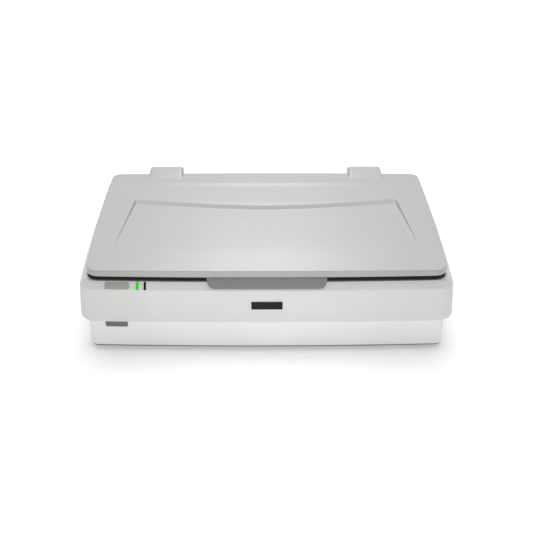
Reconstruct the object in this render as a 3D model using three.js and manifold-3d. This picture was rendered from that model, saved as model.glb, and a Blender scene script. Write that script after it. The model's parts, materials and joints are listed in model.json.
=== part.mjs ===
// A3 flatbed scanner: a shallow two-part case, a sheet-glass platen, a lift-and-tilt lid on two rear
// posts, and a belt-driven carriage that travels from left to right under the glass.
// Millimetres. +X is the user's right, +Y is the rear, +Z is up. The origin is on the desk, under the
// middle of the footprint. The lid is closed and the carriage is parked at the left.
import * as THREE from "three";
import { mergeVertices } from "three/addons/utils/BufferGeometryUtils.js";
import Module from "manifold-3d";

const wasm = await Module();
wasm.setup();

// ---------------------------------------------------------------- driving dimensions
const GAP = 0.3; // clearance between pieces that touch
const WALL = 2.5; // moulded wall thickness
const HALF_WIDTH = 328; // widest line of the upper case
const FRONT = -225; // front face of the upper case, at the middle
const REAR = 227; // rear face of the upper case
const FRONT_BOW = 7; // how far the front corners sit behind the middle of the front
const SIDE_BOW = 7.5; // how far each side comes in towards the front
const SIDE_BEND = 50; // where the sides start to come in
const SIDE_DRAFT = 3; // how far each side wall leans in from its foot to the shoulder
const FRONT_RADIUS = 28; // front corners, in plan
const REAR_RADIUS = 20; // rear corners, in plan

const UNDERSIDE = 3.5; // lowest face of the lower case
const FLOOR = UNDERSIDE + WALL; // inside floor of the lower case
const SEAM = 58; // joint between the lower and the upper case
const SHOULDER = 121; // where the sloping facet starts
const DECK = 134; // top face of the upper case
const FACET_RUN = 8; // how far the facet leans in between SHOULDER and DECK
const LOWER_SIDE_INSET = 14; // the lower case stands this far inside the upper one
const LOWER_FRONT_INSET = 6;
const LOWER_REAR = 221; // rear face of the lower case, where the sockets are

const WINDOW = { x: 222, front: -163, rear: 155 }; // opening in the deck over the glass
const GLASS_TOP = DECK - WALL - GAP;
const GLASS_THICKNESS = 3;

const LID = { halfWidth: 311.5, front: -217.5, rear: 206, rFront: 22, rRear: 18 };
const LID_LIP = 142.5; // lower edge of the lid's rim
const LID_TOP = 153;
const LINER_INSET = 3.2; // the lid's dark inner tray stands this far inside its rim
const LINER_BOTTOM = 136;

// The curved step on top of the lid.
const RIDGE = { middle: 43.5, corner: 76.5, halfWidth: 252.5, rise: 1.2, curve: 1.6 };
const CREASE = 148.5; // where the raised field behind the ridge starts
const SCOOP = { front: -137, depth: 4, run: 13.5, side: 4 }; // shallow scoop in front of the ridge

const HINGE_X = 203.5; // hinge centres, left and right of the middle
const PIVOT = { y: 217.5, z: 143 }; // axis that the lid tilts on
const COVER_REAR = 229;
const HEIGHT = 158;

const START_X = -252.6; // middles of the front panel's buttons and lights
const POWER_X = -258.3;
const READY_X = -217.8;
const ERROR_X = -205.1;
const BUTTON_LENGTH = 40;

const ROD = { y: 172, z: 84, r: 5 }; // carriage guide rod
const PARK_X = -240; // carriage centre when parked
const CARRIAGE = { half: 45, front: -168, rear: 184, bottom: 66, top: 118 };
const BELT = { y: 192.2, z: 72, r: 8, left: -292, right: 296, width: 6, thick: 1.2 };
const BIG_WHEEL = { r: 20, y: 202.3 }; // reduction wheel on the drive pulley
const MOTOR = { x: -262, z: 40, pulleyR: 6 };
const SPRING = { left: 288.7, length: 14, z: 30 }; // belt tension spring, along x
const CABLE = { y: 60, width: 24, thick: 0.6 };

const FEET = [
  ["foot_front_left", -262, -185],
  ["foot_front_right", 262, -185],
  ["foot_rear_left", -262, 185],
  ["foot_rear_right", 262, 185],
];
const SCREWS = [
  ["case_screw_front_left", -286, -188],
  ["case_screw_front_right", 286, -188],
  ["case_screw_rear_left", -230, 205],
  ["case_screw_rear_right", 230, 205],
];
const SOCKETS = {
  mains: { x: 262, z: 26, halfX: 14, halfZ: 10.5 },
  usb: { x: 60, z: 24, halfX: 6.2, halfZ: 5.8 },
  option: { x: 0, z: 24, halfX: 22, halfZ: 6 },
};
const LOCK = { x: -250, z: 30, travel: 12 };

// ---------------------------------------------------------------- materials
const plain = (color, roughness, metalness = 0) =>
  new THREE.MeshStandardMaterial({ color, roughness, metalness });
const MATERIAL = {
  case: plain(0xe4e4e2, 0.5),
  base: plain(0xe2e5e3, 0.5),
  lid: plain(0xdcdcdc, 0.45),
  liner: plain(0x161616, 0.6),
  handle: plain(0x858785, 0.5),
  buttonLight: plain(0xaba8a3, 0.45),
  buttonDark: plain(0x6f7372, 0.45),
  ready: plain(0x1fd62e, 0.25),
  error: plain(0x33262a, 0.2),
  badge: plain(0x1a1a1a, 0.3),
  glass: new THREE.MeshStandardMaterial({
    color: 0xdfe9e6,
    roughness: 0.02,
    transparent: true,
    opacity: 0.3,
  }),
  ruler: plain(0xc9cac8, 0.5),
  mat: plain(0xf4f4f2, 0.8),
  rubber: plain(0x2a2a2a, 0.9),
  steel: plain(0xb4b7ba, 0.35, 1),
  brass: plain(0xb88f4a, 0.4, 1),
  black: plain(0x222325, 0.55),
  board: plain(0x1f5a3a, 0.5),
  mirror: plain(0xe8ecee, 0.05, 1),
  lamp: plain(0xf7f6ef, 0.3),
  ribbon: plain(0xd9dadb, 0.5),
  can: plain(0xc3c6c8, 0.4, 1),
};

// ---------------------------------------------------------------- geometry helpers
function solid(geometry) {
  const bare = geometry.clone();
  bare.deleteAttribute("normal");
  bare.deleteAttribute("uv");
  const merged = mergeVertices(bare, 1e-4);
  return new wasm.Manifold(
    new wasm.Mesh({
      numProp: 3,
      vertProperties: merged.attributes.position.array,
      triVerts: new Uint32Array(merged.index.array),
    }),
  );
}

function geometryOf(manifold) {
  const mesh = manifold.getMesh();
  const geometry = new THREE.BufferGeometry();
  geometry.setAttribute("position", new THREE.BufferAttribute(mesh.vertProperties, 3));
  geometry.setIndex(new THREE.BufferAttribute(mesh.triVerts, 1));
  const flat = geometry.toNonIndexed();
  flat.computeVertexNormals();
  return flat;
}

const join = (first, ...others) =>
  geometryOf(others.reduce((made, g) => made.add(solid(g)), solid(first)));
const cut = (body, ...tools) =>
  geometryOf(tools.reduce((made, g) => made.subtract(solid(g)), solid(body)));

// An axis-aligned box from its limits.
function block(x0, x1, y0, y1, z0, z1) {
  const box = new THREE.BoxGeometry(x1 - x0, y1 - y0, z1 - z0);
  return box.translate((x0 + x1) / 2, (y0 + y1) / 2, (z0 + z1) / 2);
}

// A cylinder along axis "x", "y" or "z", from one coordinate to another, centred on the other two.
function bar(axis, radius, from, to, a, b, segments = 24) {
  const shape = new THREE.CylinderGeometry(radius, radius, to - from, segments);
  const middle = (from + to) / 2;
  if (axis === "x") return shape.rotateZ(Math.PI / 2).translate(middle, a, b);
  if (axis === "y") return shape.translate(a, middle, b);
  return shape.rotateX(Math.PI / 2).translate(a, b, middle);
}

// A closed body through rings of [x, y, z] points. Each ring runs anticlockwise seen from the
// direction of travel, and the two end caps are triangulated on the axes u and v.
function loft(rings, u, v) {
  const count = rings[0].length;
  const positions = rings.flat(2);
  const index = [];
  for (let i = 0; i < rings.length - 1; i++)
    for (let j = 0; j < count; j++) {
      const k = (j + 1) % count;
      const [a, b] = [i * count + j, i * count + k];
      index.push(a, b, b + count, a, b + count, a + count);
    }
  for (const [ring, offset, up] of [
    [rings[0], 0, false],
    [rings.at(-1), (rings.length - 1) * count, true],
  ]) {
    const flat = ring.map((p) => new THREE.Vector2(p[u], p[v]));
    for (const [a, b, c] of THREE.ShapeUtils.triangulateShape(flat, [])) {
      const turn = THREE.ShapeUtils.area([flat[a], flat[b], flat[c]]) > 0;
      index.push(offset + a, offset + (turn === up ? b : c), offset + (turn === up ? c : b));
    }
  }
  const geometry = new THREE.BufferGeometry();
  geometry.setAttribute("position", new THREE.Float32BufferAttribute(positions, 3));
  geometry.setIndex(index);
  return geometry;
}
const loftUp = (rings) => loft(rings, 0, 1);
const loftAcross = (rings) => loft(rings, 1, 2);

// The front bows outwards: a point in front of the middle moves back as it nears a corner.
const bow = (x, y) => y + FRONT_BOW * (x / HALF_WIDTH) ** 2 * Math.max(0, y / FRONT);
// The sides come in towards the front on a gentle curve.
function narrow(x, y) {
  const share = Math.max(0, SIDE_BEND - y) / (SIDE_BEND - FRONT);
  return x * (1 - (SIDE_BOW / HALF_WIDTH) * share ** 2);
}

// A rounded rectangle with a bowed front and sides, anticlockwise from above.
function outline(halfWidth, front, rear, rFront, rRear, z) {
  const FRONT_STEPS = 10;
  const CORNER_STEPS = 6;
  const SIDE_STEPS = 4;
  const points = [];
  const sideY = (i) => front + rFront + ((SIDE_BEND - front - rFront) * i) / SIDE_STEPS;
  for (let i = 0; i < FRONT_STEPS; i++)
    points.push([(halfWidth - rFront) * ((2 * i) / FRONT_STEPS - 1), front]);
  const corner = (cx, cy, r, start) => {
    for (let i = 0; i <= CORNER_STEPS; i++) {
      const a = start + (Math.PI / 2) * (i / CORNER_STEPS);
      points.push([cx + r * Math.cos(a), cy + r * Math.sin(a)]);
    }
  };
  corner(halfWidth - rFront, front + rFront, rFront, -Math.PI / 2);
  for (let i = 1; i <= SIDE_STEPS; i++) points.push([halfWidth, sideY(i)]);
  corner(halfWidth - rRear, rear - rRear, rRear, 0);
  corner(-halfWidth + rRear, rear - rRear, rRear, Math.PI / 2);
  for (let i = SIDE_STEPS; i >= 1; i--) points.push([-halfWidth, sideY(i)]);
  corner(-halfWidth + rFront, front + rFront, rFront, Math.PI);
  points.pop();
  return points.map(([x, y]) => [narrow(x, y), bow(x, y), z]);
}

// A ring of the case at height z, moved in from its widest outline.
const caseRing = (z, side, front = side, rear = side) =>
  outline(
    HALF_WIDTH - side,
    FRONT + front,
    REAR - rear,
    FRONT_RADIUS - side,
    Math.max(4, REAR_RADIUS - side),
    z,
  );
const lidRing = (z, inset) =>
  outline(
    LID.halfWidth - inset,
    LID.front + inset,
    LID.rear - inset,
    LID.rFront - inset,
    LID.rRear - inset,
    z,
  );

function piece(name, geometry, material, place = [0, 0, 0]) {
  const mesh = new THREE.Mesh(geometry, material);
  mesh.name = name;
  mesh.position.set(...place);
  return mesh;
}

function group(place, ...members) {
  const made = new THREE.Group();
  made.position.set(...place);
  made.add(...members);
  return made;
}

// ---------------------------------------------------------------- lower case and what stands under it
function lowerCase() {
  const rearInset = REAR - LOWER_REAR;
  const [side, front] = [LOWER_SIDE_INSET, LOWER_FRONT_INSET];
  const outer = loftUp([
    caseRing(UNDERSIDE, side + 8, front + 8, rearInset + 5),
    caseRing(UNDERSIDE + 2.5, side + 4.5, front + 4.5, rearInset + 1),
    caseRing(UNDERSIDE + 8, side + 2.5, front + 3, rearInset),
    caseRing(SEAM - GAP, side, front, rearInset),
  ]);
  const inner = loftUp([
    caseRing(FLOOR, side + 7, front + 7, rearInset + WALL),
    caseRing(UNDERSIDE + 8, side + 2.5 + WALL, front + 3 + WALL, rearInset + WALL),
    caseRing(SEAM + 1, side + WALL, front + WALL, rearInset + WALL),
  ]);
  const bosses = SCREWS.map(([, x, y]) => bar("z", 6, FLOOR - 1, SEAM - 2 * GAP, x, y, 12));
  const springRib = block(SPRING.left - 2.7, SPRING.left - GAP, 199, 208, FLOOR - 1, SPRING.z + 6);
  const screwHoles = SCREWS.flatMap(([, x, y]) => [
    bar("z", 4.8, 0, 7.3, x, y, 16),
    bar("z", 2.5, 5, 51, x, y, 12),
  ]);
  const socketHoles = Object.values(SOCKETS).map((s) =>
    block(
      s.x - s.halfX - GAP,
      s.x + s.halfX + GAP,
      LOWER_REAR - 6,
      LOWER_REAR + 4,
      s.z - s.halfZ - GAP,
      s.z + s.halfZ + GAP,
    ),
  );
  const vents = Array.from({ length: 8 }, (_, i) => {
    const x = -190 + 9 * i;
    return block(x, x + 3.5, LOWER_REAR - 6, LOWER_REAR + 4, 18, 44);
  });
  const lockSlot = block(
    LOCK.x - 3.5,
    LOCK.x + LOCK.travel + 3.5,
    LOWER_REAR - 6,
    LOWER_REAR + 4,
    LOCK.z - 3,
    LOCK.z + 3,
  );
  const buttonNotch = block(
    POWER_X - BUTTON_LENGTH / 2 - GAP,
    POWER_X + BUTTON_LENGTH / 2 + GAP,
    FRONT - 5,
    FRONT + 22,
    POWER_BUTTON.bottom - GAP,
    SEAM + 1,
  );
  const shell = join(cut(outer, inner), ...bosses, springRib);
  return piece(
    "lower_case",
    cut(shell, ...screwHoles, ...socketHoles, ...vents, lockSlot, buttonNotch),
    MATERIAL.base,
  );
}

const foot = (name, x, y) =>
  piece(name, bar("z", 10, 0, UNDERSIDE - GAP, 0, 0), MATERIAL.rubber, [x, y, 0]);

function caseScrew(name, x, y) {
  const head = bar("z", 4.3, 4.4, 6.9, 0, 0, 16);
  const shank = bar("z", 2.1, 6, 49, 0, 0, 10);
  return piece(name, join(head, shank), MATERIAL.steel, [x, y, 0]);
}

// ---------------------------------------------------------------- upper case, glass and rulers
function upperCase() {
  const facetInset = (z) => (FACET_RUN * (z - SHOULDER)) / (DECK - SHOULDER);
  const under = DECK - WALL;
  const outer = loftUp([
    caseRing(SEAM, 1.6, 1.6, 1.6),
    caseRing(SEAM + 2, 0.4),
    caseRing(SEAM + 5, 0),
    caseRing(SHOULDER, SIDE_DRAFT, 0, 0),
    caseRing(DECK - 0.8, SIDE_DRAFT + facetInset(DECK - 0.8), facetInset(DECK - 0.8), 1.5),
    caseRing(DECK, SIDE_DRAFT + FACET_RUN + 0.8, FACET_RUN + 0.8, 3),
  ]);
  const inner = loftUp([
    caseRing(SEAM + WALL, WALL),
    caseRing(SHOULDER - 1, SIDE_DRAFT + WALL, WALL, WALL),
    caseRing(under, SIDE_DRAFT + facetInset(under) + 1.3 * WALL, facetInset(under) + 1.3 * WALL, WALL),
  ]);
  const seamOpening = loftUp([
    caseRing(SEAM - 1, 16, 11, 10),
    caseRing(SEAM + WALL + 1, 16, 11, 10),
  ]);
  const window = block(-WINDOW.x, WINDOW.x, WINDOW.front, WINDOW.rear, under - 2, DECK + 2);
  const postSlots = [-1, 1].map((side) =>
    block(
      side * HINGE_X - POST.half - 0.7,
      side * HINGE_X + POST.half + 0.7,
      POST.front - 0.5,
      POST.rear + 0.5,
      under - 2,
      DECK + 2,
    ),
  );
  const facetHole = (x, [width, height]) =>
    onFacet(new THREE.BoxGeometry(width + 2 * GAP, height + 2 * GAP, 18), x);
  const facetHoles = [
    facetHole(START_X, START_BUTTON),
    facetHole(READY_LIGHT.x, READY_LIGHT.size),
    facetHole(ERROR_LIGHT.x, ERROR_LIGHT.size),
  ];
  const boardPegs = [-280, -204].map((x) =>
    bar("y", 3, bow(x, FRONT) + 1.2, CONTROL_BOARD.front - GAP, x, 76, 12),
  );
  const shell = cut(outer, inner, seamOpening, window, ...postSlots, ...facetHoles);
  return piece("upper_case", join(shell, ...boardPegs), MATERIAL.case);
}

// Sizes along the facet's length, up its slope, and through it.
const START_BUTTON = [BUTTON_LENGTH, 10.9, 7];
const READY_LIGHT = { x: READY_X, size: [4.3, 13.8, 6] };
const ERROR_LIGHT = { x: ERROR_X, size: [3.4, 13.8, 6] };

// The facet's lean, its turn where the front bows, and its middle at x.
const FACET_LEAN = Math.atan2(FACET_RUN, DECK - SHOULDER);
const facetTurn = (x) => Math.atan((2 * FRONT_BOW * x) / HALF_WIDTH ** 2);
const facetMiddle = (x) => [x, bow(x, FRONT + FACET_RUN / 2), (SHOULDER + DECK) / 2];

// Places a shape drawn with x along the facet, y up the slope and z out of it.
function onFacet(geometry, x) {
  return geometry
    .rotateX(Math.PI / 2 - FACET_LEAN)
    .rotateZ(facetTurn(x))
    .translate(...facetMiddle(x));
}

function startButton() {
  const [length, height, depth] = START_BUTTON;
  const cap = new THREE.BoxGeometry(length, height, depth).translate(0, 0, -depth / 2 + 1);
  const plunger = new THREE.BoxGeometry(6, 4, 6).translate(0, 0, -depth - 1);
  return piece("start_button", onFacet(join(cap, plunger), START_X), MATERIAL.buttonLight);
}

function facetLight(name, light, material) {
  const [width, height, depth] = light.size;
  const lens = new THREE.BoxGeometry(width, height, depth).translate(0, 0, -depth / 2 + 0.2);
  return piece(name, onFacet(lens, light.x), material);
}

const POWER_BUTTON = { bottom: 46, depth: 12 };
function powerButton() {
  const turn = facetTurn(POWER_X);
  const height = SEAM - GAP - POWER_BUTTON.bottom;
  const { depth } = POWER_BUTTON;
  const cap = new THREE.BoxGeometry(BUTTON_LENGTH - 2, depth, height)
    .translate(0, depth / 2 - 1.2, 0)
    .rotateZ(turn);
  const place = [
    POWER_X,
    bow(POWER_X, FRONT + LOWER_FRONT_INSET),
    POWER_BUTTON.bottom + height / 2,
  ];
  return piece("power_button", cap, MATERIAL.buttonDark, place);
}

const platenGlass = () =>
  piece(
    "platen_glass",
    block(
      -WINDOW.x - 10,
      WINDOW.x + 10,
      WINDOW.front - 9,
      WINDOW.rear + 9,
      GLASS_TOP - GLASS_THICKNESS,
      GLASS_TOP,
    ),
    MATERIAL.glass,
  );

function rulerFrame() {
  const [bottom, top] = [DECK + GAP, DECK + 1.2];
  const margin = 0.5;
  const width = 16;
  const outer = block(
    -WINDOW.x - width,
    WINDOW.x + width,
    WINDOW.front - width,
    WINDOW.rear + width,
    bottom,
    top,
  );
  const inner = block(
    -WINDOW.x - margin,
    WINDOW.x + margin,
    WINDOW.front - margin,
    WINDOW.rear + margin,
    bottom - 1,
    top + 1,
  );
  return piece("ruler_frame", cut(outer, inner), MATERIAL.ruler);
}

const badgePlate = () =>
  piece(
    "badge_plate",
    block(-26.4, 26.4, FRONT - GAP - 1.2, FRONT - GAP, 85.8, 100),
    MATERIAL.badge,
  );

// ---------------------------------------------------------------- rear sockets and transport lock
function socket(name, place, flange, cavity) {
  const { x, z, halfX, halfZ } = place;
  const depth = 20;
  const body = block(-halfX, halfX, -depth, GAP + 1, -halfZ, halfZ);
  const rim = block(-halfX - flange, halfX + flange, GAP, 1.8, -halfZ - flange, halfZ + flange);
  const [cx, cz, cy] = cavity;
  const hollow = block(-cx, cx, 1.8 - cy, 5, -cz, cz);
  return piece(name, cut(join(body, rim), hollow), MATERIAL.black, [x, LOWER_REAR, z]);
}

function transportLock() {
  const knob = block(-5, 5, GAP, 4, -7, 7);
  const neck = block(-3, 3, -WALL - 2, 1, -2.6, 2.6);
  const keeper = block(-7, 7, -WALL - 4, -WALL - GAP, -6, 6);
  return piece("transport_lock", join(knob, neck, keeper), MATERIAL.buttonDark, [
    LOCK.x,
    LOWER_REAR,
    LOCK.z,
  ]);
}

// ---------------------------------------------------------------- lid
const ridgeY = (x) =>
  RIDGE.middle + (RIDGE.corner - RIDGE.middle) * Math.min(1, Math.abs(x / RIDGE.halfWidth) ** RIDGE.curve);
const ridgeRise = (x) => RIDGE.rise * (1 - 0.8 * (x / RIDGE.halfWidth) ** 2);

// The lid's outer form, or the same form inset and lowered to hollow it.
function lidForm(inset, drop) {
  const slab = loftUp([
    lidRing(LID_LIP - (drop ? 2 : 0), inset + (drop ? 0 : 0.8)),
    lidRing(LID_LIP + 0.8, inset),
    lidRing(LID_TOP - 2.2 - drop, inset),
    lidRing(LID_TOP - 0.7 - drop, inset + 1.2),
    lidRing(LID_TOP - drop, inset + 3.6),
  ]);
  const STATIONS = 8;
  const spread = Array.from({ length: STATIONS + 1 }, (_, i) => RIDGE.halfWidth * ((2 * i) / STATIONS - 1));
  const raised = loftAcross(
    spread.map((x) => [
      [x, ridgeY(x), LID_TOP - 2 - drop],
      [x, CREASE, LID_TOP - 2 - drop],
      [x, CREASE, LID_TOP + 0.02 - drop],
      [x, ridgeY(x), LID_TOP + ridgeRise(x) - drop],
    ]),
  );
  const scoopSection = (x, depth) => [
    [x, SCOOP.front, LID_TOP - drop],
    [x, ridgeY(x) - SCOOP.run, LID_TOP - depth - drop],
    [x, ridgeY(x), LID_TOP + ridgeRise(x) - drop],
    [x, ridgeY(x), LID_TOP + 8 - drop],
    [x, SCOOP.front, LID_TOP + 8 - drop],
  ];
  const edge = RIDGE.halfWidth + SCOOP.side;
  const scoop = loftAcross([
    scoopSection(-edge, 0.01),
    ...spread.map((x) => scoopSection(x, SCOOP.depth)),
    scoopSection(edge, 0.01),
  ]);
  return cut(join(slab, raised), scoop);
}

function lidShell() {
  const notches = [-1, 1].map((side) =>
    block(
      side * HINGE_X - LEAF.half - 1,
      side * HINGE_X + LEAF.half + 1,
      LID.rear - 6,
      LID.rear + 2,
      LID_LIP - 1,
      LEAF.top + 0.8,
    ),
  );
  return piece("lid_shell", cut(lidForm(0, 0), lidForm(WALL, WALL), ...notches), MATERIAL.lid);
}

function lidLiner() {
  const top = 146.4;
  const outer = loftUp([
    lidRing(LINER_BOTTOM, LINER_INSET + 0.8),
    lidRing(LINER_BOTTOM + 0.8, LINER_INSET),
    lidRing(top, LINER_INSET),
  ]);
  const inner = loftUp([
    lidRing(LINER_BOTTOM + 2.2, LINER_INSET + 2),
    lidRing(top + 1, LINER_INSET + 2),
  ]);
  return piece("lid_liner", cut(outer, inner), MATERIAL.liner);
}

const documentMat = () =>
  piece(
    "document_mat",
    block(
      -WINDOW.x + 2.5,
      WINDOW.x - 2.5,
      WINDOW.front + 3,
      WINDOW.rear - 4,
      GLASS_TOP + 0.5,
      LINER_BOTTOM - GAP,
    ),
    MATERIAL.mat,
  );

// A curved lip under the middle of the lid's front rim, with rounded ends.
function lidHandle() {
  const handle = { top: LID_LIP - GAP, tip: 127, reach: 11.4, thick: 2.8, half: 101, round: 13 };
  const SECTION = 5;
  const section = (x, share) => {
    const point = (i, back) => {
      const s = (share * i) / (SECTION - 1);
      const y = LID.front - 0.1 - handle.reach * s ** 0.85 + back;
      return [x, bow(x, y), handle.top - (handle.top - handle.tip) * s];
    };
    const steps = Array.from({ length: SECTION }, (_, i) => i);
    return [
      ...steps.map((i) => point(i, 0)),
      ...steps.reverse().map((i) => point(i, handle.thick)),
    ];
  };
  const straight = handle.half - handle.round;
  const stations = [];
  for (const side of [-1, 1]) {
    const ends = [1, 0.9, 0.72, 0.45, 0].map((t) => [
      side * (straight + handle.round * t),
      Math.max(0.15, Math.sqrt(1 - t * t)),
    ]);
    stations.push(...(side < 0 ? ends : ends.reverse()));
    if (side < 0) for (const x of [-55, -18, 18, 55]) stations.push([x, 1]);
  }
  return piece("lid_handle", loftAcross(stations.map(([x, s]) => section(x, s))), MATERIAL.handle);
}

// ---------------------------------------------------------------- hinges: each is drawn about x = 0
const POST = { half: 20, front: 212, rear: 221, bottom: 62.2 };
const KNUCKLE = { r: 6.5, half: 12 };
const PIN = { r: 2.5, hole: 2.9 };
const LEAF = { half: 20, front: 168, bottom: 147, top: 149.4 };

const pinHole = (from, to) => bar("x", PIN.hole, from, to, PIVOT.y, PIVOT.z);

function hingeSocket() {
  const [bottom, top] = [SEAM + WALL + GAP, DECK - WALL - GAP];
  const sleeve = block(-POST.half - 4, POST.half + 4, POST.front - 3.4, POST.rear + 3.2, bottom, top);
  const well = block(
    -POST.half - 0.5,
    POST.half + 0.5,
    POST.front - 0.4,
    POST.rear + 0.4,
    bottom + 1,
    top + 1,
  );
  return cut(sleeve, well);
}

function hingePost() {
  const stem = block(-POST.half, POST.half, POST.front, POST.rear, POST.bottom, DECK - 0.5);
  const neck = block(-KNUCKLE.half, KNUCKLE.half, POST.front, POST.rear, DECK - 2, PIVOT.z);
  const knuckle = bar("x", KNUCKLE.r, -KNUCKLE.half, KNUCKLE.half, PIVOT.y, PIVOT.z);
  return cut(join(stem, neck, knuckle), pinHole(-KNUCKLE.half - 1, KNUCKLE.half + 1));
}

const hingePin = () => bar("x", PIN.r, -LEAF.half - 0.4, LEAF.half + 0.4, PIVOT.y, PIVOT.z);

function hingeLeaf() {
  const inner = KNUCKLE.half + 0.5;
  const plate = block(-LEAF.half, LEAF.half, LEAF.front, 209, LEAF.bottom, LEAF.top);
  const ears = [
    [-LEAF.half, -inner],
    [inner, LEAF.half],
  ].flatMap(([from, to]) => [
    block(from, to, 208, PIVOT.y, PIVOT.z + 1, LEAF.top),
    bar("x", KNUCKLE.r, from, to, PIVOT.y, PIVOT.z),
  ]);
  return cut(join(plate, ...ears), pinHole(-LEAF.half - 1, LEAF.half + 1));
}

// The low housing over each hinge. It lies on the lid, and behind the lid it turns down around the
// pin, with a slot for the post.
function hingeCover() {
  const COVER = { half: 34, front: 170, side: 5 };
  const section = (x, drop) => [
    [x, LID.rear + 0.4, LINER_BOTTOM - 0.4],
    [x, 221.5, LINER_BOTTOM - 0.4],
    [x, 224.2, 138.4],
    [x, 225.9, PIVOT.z],
    [x, 227.2, 147],
    [x, COVER_REAR, 151],
    [x, COVER_REAR, HEIGHT - 2 - drop],
    [x, COVER_REAR - 2, HEIGHT - 0.3 - drop],
    [x, 214, HEIGHT - drop],
    [x, 190, LID_TOP + 3.6 - 0.6 * drop],
    [x, COVER.front, LID_TOP + GAP + 0.3],
    [x, COVER.front, LID_TOP + GAP],
    [x, LID.rear + 0.4, LID_TOP + GAP],
  ];
  const body = loftAcross([
    section(-COVER.half, 3.6),
    section(-COVER.half + 1.8, 1),
    section(-COVER.half + COVER.side, 0),
    section(COVER.half - COVER.side, 0),
    section(COVER.half - 1.8, 1),
    section(COVER.half, 3.6),
  ]);
  const clear = LEAF.half + 0.8;
  const slot = block(-clear, clear, LID.rear + 0.2, COVER_REAR + 2, LINER_BOTTOM - 3, 147.5);
  const barrel = bar("x", KNUCKLE.r + 1.4, -clear, clear, PIVOT.y, PIVOT.z);
  const leafRoom = block(-clear, clear, LID.rear - 1, PIVOT.y, 146, LEAF.top + 0.7);
  return cut(body, slot, barrel, leafRoom);
}

// ---------------------------------------------------------------- carriage, drawn about its own centre in x
function carriageHousing() {
  const { half, front, rear, bottom, top } = CARRIAGE;
  const body = block(-half, half, front, rear, bottom, top);
  const hollow = block(-half + WALL, half - WALL, front + WALL, 156, bottom + WALL, top - WALL);
  const slot = block(-18, 18, WINDOW.front + 4, WINDOW.rear - 4, top - WALL - 1, top + 1);
  const rodBore = bar("x", 6.5, -half - 1, half + 1, ROD.y, ROD.z);
  const bushSeats = [
    [-half - 1, -half + 14.4],
    [half - 14.4, half + 1],
  ].map(([from, to]) => bar("x", 8.4, from, to, ROD.y, ROD.z));
  const shoe = block(-18, 18, -181, front + 2, bottom + 4, bottom + 12);
  const pocket = block(-half + 17, half - 17, 158.5, rear - WALL, bottom - 1, top - WALL);
  return cut(join(body, shoe), hollow, slot, pocket, rodBore, ...bushSeats);
}

const rodBush = () => cut(bar("x", 8, -7, 7, 0, 0), bar("x", ROD.r + 0.35, -8, 8, 0, 0));

// The lamp and the mirror reach from one end wall of the housing to the other.
const OPTICS = { front: CARRIAGE.front + WALL + GAP, rear: 156 - GAP };
const lampBar = () => block(9, 15, OPTICS.front, OPTICS.rear, 108.2, CARRIAGE.top - WALL - GAP);

const foldMirror = () =>
  new THREE.BoxGeometry(26, OPTICS.rear - OPTICS.front, 3)
    .rotateY(Math.PI / 4)
    .translate(-6, (OPTICS.front + OPTICS.rear) / 2, 88);

function lensBlock() {
  const base = block(14, 34, -16, 16, CARRIAGE.bottom + WALL + GAP, 74);
  const barrel = bar("x", 9, 12, 34, 0, 84, 20);
  const neck = block(16, 32, -6, 6, 73, 78);
  return join(base, neck, barrel);
}

const sensorBoard = () => block(38, 40, -60, 60, CARRIAGE.bottom + WALL + GAP, 104);

function beltClamp() {
  const { y, z, r, width, thick } = BELT;
  const [front, rear] = [CARRIAGE.rear + GAP, y + width / 2 + 1.5];
  const body = block(-12, 12, front, rear, z + r - 4, z + r + 6);
  const slot = block(-13, 13, y - width / 2 - 0.6, rear + 1, z + r - 0.6, z + r + thick + 0.8);
  return cut(body, slot);
}

// ---------------------------------------------------------------- guides, belts and motor
const guideRod = () => bar("x", ROD.r, -307, 307, ROD.y, ROD.z);

// A steel channel that carries the shoe at the front of the carriage.
function guideRail() {
  const half = 272;
  const base = block(-half, half, -194, -176, FLOOR + GAP, FLOOR + 2.3);
  const web = block(-half, half, -188, -186, FLOOR + 1, CARRIAGE.bottom + 2);
  const track = block(-half, half, -188, -174, CARRIAGE.bottom + 1.5, CARRIAGE.bottom + 3.7);
  return join(base, web, track);
}

function rodClamp() {
  const body = block(-5, 5, ROD.y - 8, ROD.y + 8, FLOOR + GAP, ROD.z + 9);
  return cut(body, bar("x", ROD.r + 0.4, -6, 6, ROD.y, ROD.z));
}

// A belt around two pulleys whose axes run along y.
function beltLoop(ax, az, ar, bx, bz, br, width, thick) {
  const ARC = 10;
  const heading = Math.atan2(bz - az, bx - ax);
  const spread = Math.acos((ar - br) / Math.hypot(bx - ax, bz - az));
  const ring = (grow) => {
    const points = [];
    for (const [cx, cz, r, from, to] of [
      [ax, az, ar + grow, heading + spread, heading + 2 * Math.PI - spread],
      [bx, bz, br + grow, heading - spread, heading + spread],
    ])
      for (let i = 0; i <= ARC; i++) {
        const a = from + ((to - from) * i) / ARC;
        points.push(new THREE.Vector2(cx + r * Math.cos(a), cz + r * Math.sin(a)));
      }
    return points;
  };
  const shape = new THREE.Shape(ring(thick));
  shape.holes.push(new THREE.Path(ring(0)));
  const strip = new THREE.ExtrudeGeometry(shape, { depth: width, bevelEnabled: false });
  return strip.rotateX(Math.PI / 2).translate(0, width / 2, 0);
}

function driveBelt() {
  const { left, right, z, r, width, thick } = BELT;
  const inside = r + 0.4;
  return beltLoop(left, z, inside, right, z, inside, width, thick);
}

const reductionBelt = () =>
  beltLoop(BELT.left, BELT.z, BIG_WHEEL.r + 0.4, MOTOR.x, MOTOR.z, MOTOR.pulleyR + 0.4, 5, 1);

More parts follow.
